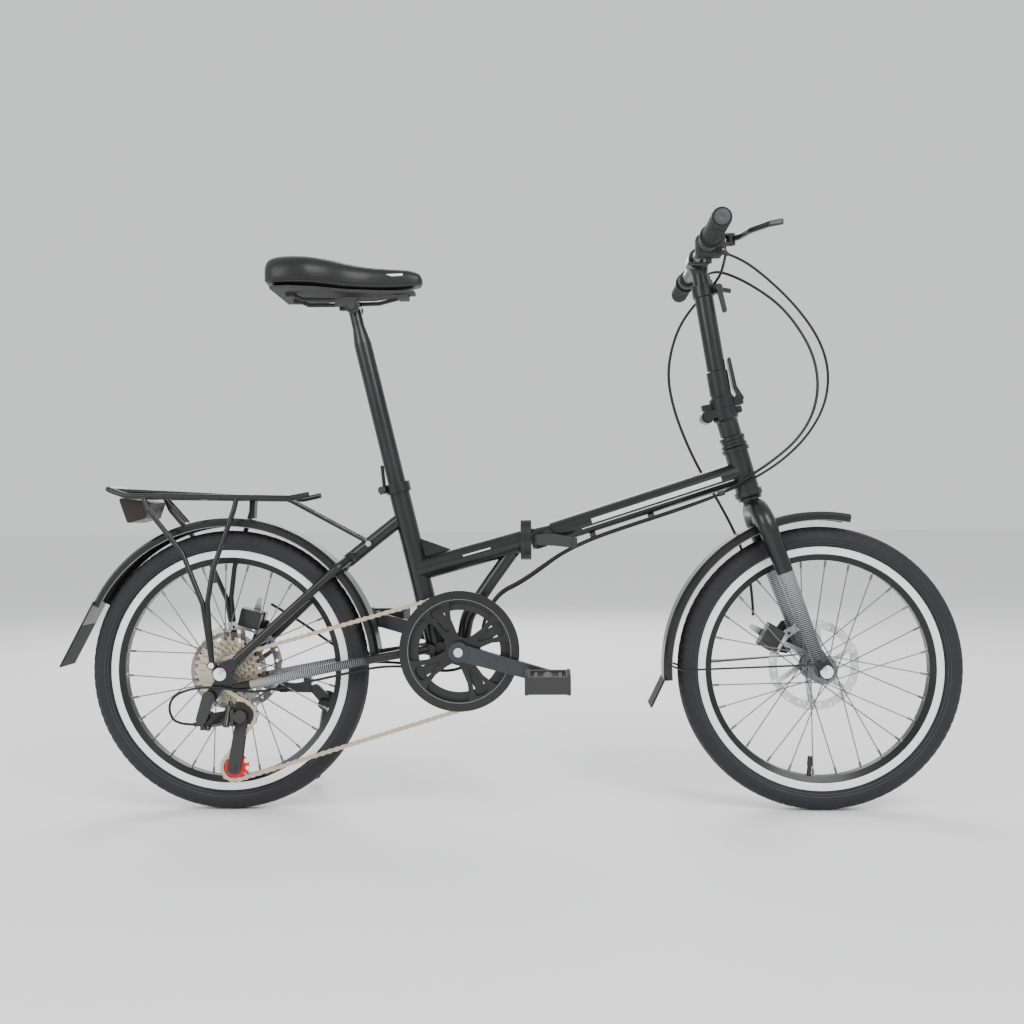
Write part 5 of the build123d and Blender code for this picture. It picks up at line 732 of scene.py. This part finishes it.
def build_saddle():
    """Padded cover: a crowned shell with a rolled lower edge, sewn side channels and a shallow middle."""
    bm = bmesh.new()
    bmesh.ops.create_uvsphere(bm, u_segments=96, v_segments=72, radius=1.0)
    for vert in bm.verts:
        t = 1 - acos(max(-1.0, min(1.0, vert.co.z))) / pi
        turn = atan2(vert.co.y, vert.co.x)
        ring = min(1.0, hypot(vert.co.x, vert.co.y) / 0.16)
        place = saddle_point(t, turn)
        middle = saddle_point(t, 0.5 * pi) * 0.4 + saddle_point(t, -0.5 * pi) * 0.6
        vert.co = middle + (place - middle) * ring ** 0.5
    cover = new_object("saddle_pad", bm, "vinyl", "saddle", 80, ("saddle_cover",))
    bm = bmesh.new()
    for turn in (radians(-26), radians(206)):
        tube_mesh(bm, [saddle_point(0.06 + 0.88 * k / 90, turn) for k in range(91)], 0.0011, 2)
    new_object("saddle_piping", bm, "black_plastic", "saddle", 60)
    bm = bmesh.new()
    for side in (1, -1):
        block(bm, at(292, 934.5, side * 22.0), (0.038, 0.0016, 0.0040), 0.0004, Matrix.Rotation(radians(2.0), 4, "Y"))
    new_object("saddle_mark", bm, "white_mark", "saddle", 30)


def build_details():
    """Small bright parts: the crank cap and the rotor bolts."""
    bm = bmesh.new()
    cylinder(bm, CRANK + Vector((0, 0.0795, 0)), CRANK + Vector((0, 0.0815, 0)), 0.0078, 28)
    new_object("crank_cap", bm, "polished", "crank")
    for body, centre, side, name in (("front_wheel", FRONT_AXLE, -0.0405, "front"), ("rear_wheel", REAR_AXLE, -0.0465, "rear")):
        bm = bmesh.new()
        for k in range(6):
            p = wheel_point(centre, side, 0.0222, radians(30 + 60 * k))
            cylinder(bm, p, p - Vector((0, 0.0025, 0)), 0.0040, 16, 0.0030)
        new_object(name + "_rotor_bolts", bm, "chrome", body)


# ---- Stage ----

def build_stage():
    scene = bpy.context.scene
    bm = bmesh.new()
    bmesh.ops.create_circle(bm, cap_ends=True, segments=96, radius=60.0)
    mesh = bpy.data.meshes.new("floor")
    bm.to_mesh(mesh)
    bm.free()
    floor_obj = bpy.data.objects.new("floor", mesh)
    scene.collection.objects.link(floor_obj)
    m = Nodes("floor")
    m.put(m.bsdf.inputs["Base Color"], m.mix(m.ramp(m.noise(3), 0.3, 0.7, 0.0, 0.3), (0.90, 0.90, 0.90), (0.88, 0.88, 0.88)))
    m.bsdf.inputs["Roughness"].default_value = 0.75
    mesh.materials.append(m.mat)
    world = bpy.data.worlds.new("studio")
    scene.world = world
    world.use_nodes = True
    world.node_tree.nodes["Background"].inputs[0].default_value = (0.94, 0.95, 0.96, 1)
    world.node_tree.nodes["Background"].inputs[1].default_value = 0.95
    for name, place, size, power in (("key", (-1.8, 3.2, 3.2), 2.4, 150), ("fill", (2.6, 2.4, 1.8), 2.0, 60), ("rim", (0.4, -3.0, 2.6), 2.4, 90)):
        light = bpy.data.lights.new(name, "AREA")
        light.energy = power
        light.size = size
        obj = bpy.data.objects.new(name, light)
        obj.location = place
        obj.rotation_euler = (Vector((0, 0, 0.5)) - Vector(place)).to_track_quat("-Z", "Y").to_euler()
        scene.collection.objects.link(obj)
    cam = bpy.data.cameras.new("camera")
    cam.lens = 39.4
    cam.sensor_width = 36.0
    obj = bpy.data.objects.new("camera", cam)
    yaw, pitch, roll = radians(2.14), radians(0.56), radians(0.40)
    ahead = Vector((sin(yaw), -cos(yaw), 0)) * cos(pitch) + Vector((0, 0, sin(pitch)))
    rot = ahead.to_track_quat("-Z", "Y").to_matrix() @ Matrix.Rotation(-roll, 3, "Z")
    obj.matrix_world = Matrix.Translation(at(572, 500, 1967)) @ rot.to_4x4()
    scene.collection.objects.link(obj)
    scene.camera = obj


# ---- Add-on ----

class BicycleSettings(bpy.types.PropertyGroup):
    details: bpy.props.BoolProperty(name="Small details", description="Adds bolts, reflectors and eyelets", default=True)


class BicycleOperator:
    bl_options = {"REGISTER", "UNDO"}


class BICYCLE_OT_frame(BicycleOperator, bpy.types.Operator):
    """Gives the frame's nodes their finishes"""
    bl_idname = "bicycle.frame"
    bl_label = "Finish the frame"

    def execute(self, context):
        dress_nodes()
        return {"FINISHED"}


class BICYCLE_OT_wheels(BicycleOperator, bpy.types.Operator):
    """Builds the tyres, valves and eyelets"""
    bl_idname = "bicycle.wheels"
    bl_label = "Wheels"

    def execute(self, context):
        build_tyre("rear_tyre_shell", REAR_AXLE, "rear_wheel")
        build_tyre("front_tyre_shell", FRONT_AXLE, "front_wheel")
        if context.scene.bicycle.details:
            build_rim_details("rear", REAR_AXLE, "rear_wheel", 3)
            build_rim_details("front", FRONT_AXLE, "front_wheel", 9)
        return {"FINISHED"}


class BICYCLE_OT_chain(BicycleOperator, bpy.types.Operator):
    """Builds the chain from plates, pins and rollers"""
    bl_idname = "bicycle.chain"
    bl_label = "Chain"

    def execute(self, context):
        build_chain()
        return {"FINISHED"}


class BICYCLE_OT_cables(BicycleOperator, bpy.types.Operator):
    """Builds the brake and shift cables in stretches cut at the joints"""
    bl_idname = "bicycle.cables"
    bl_label = "Cables"

    def execute(self, context):
        build_cables()
        return {"FINISHED"}


class BICYCLE_OT_touch(BicycleOperator, bpy.types.Operator):
    """Builds the grips and the padded saddle"""
    bl_idname = "bicycle.touch"
    bl_label = "Grips and saddle"

    def execute(self, context):
        build_grips()
        build_saddle()
        return {"FINISHED"}


class BICYCLE_OT_details(BicycleOperator, bpy.types.Operator):
    """Builds the crank cap and the rotor bolts"""
    bl_idname = "bicycle.details"
    bl_label = "Details"

    def execute(self, context):
        if context.scene.bicycle.details:
            build_details()
        return {"FINISHED"}


class BICYCLE_OT_stage(BicycleOperator, bpy.types.Operator):
    """Builds the floor, lights and camera"""
    bl_idname = "bicycle.stage"
    bl_label = "Stage"

    def execute(self, context):
        build_stage()
        return {"FINISHED"}


class BICYCLE_PT_panel(bpy.types.Panel):
    """Lists the builders"""
    bl_label = "Bicycle"
    bl_space_type = "VIEW_3D"
    bl_region_type = "UI"
    bl_category = "Bicycle"

    def draw(self, context):
        self.layout.prop(context.scene.bicycle, "details")
        for operator in OPERATORS:
            self.layout.operator(operator.bl_idname)


OPERATORS = (BICYCLE_OT_frame, BICYCLE_OT_wheels, BICYCLE_OT_chain, BICYCLE_OT_cables, BICYCLE_OT_touch, BICYCLE_OT_details,
             BICYCLE_OT_stage)
CLASSES = (BicycleSettings, *OPERATORS, BICYCLE_PT_panel)


def register():
    for cls in CLASSES:
        bpy.utils.register_class(cls)
    bpy.types.Scene.bicycle = bpy.props.PointerProperty(type=BicycleSettings)


def unregister():
    del bpy.types.Scene.bicycle
    for cls in reversed(CLASSES):
        bpy.utils.unregister_class(cls)


def main():
    register()
    for operator in OPERATORS:
        group, name = operator.bl_idname.split(".")
        getattr(getattr(bpy.ops, group), name)()


if __name__ == "__main__":
    main()
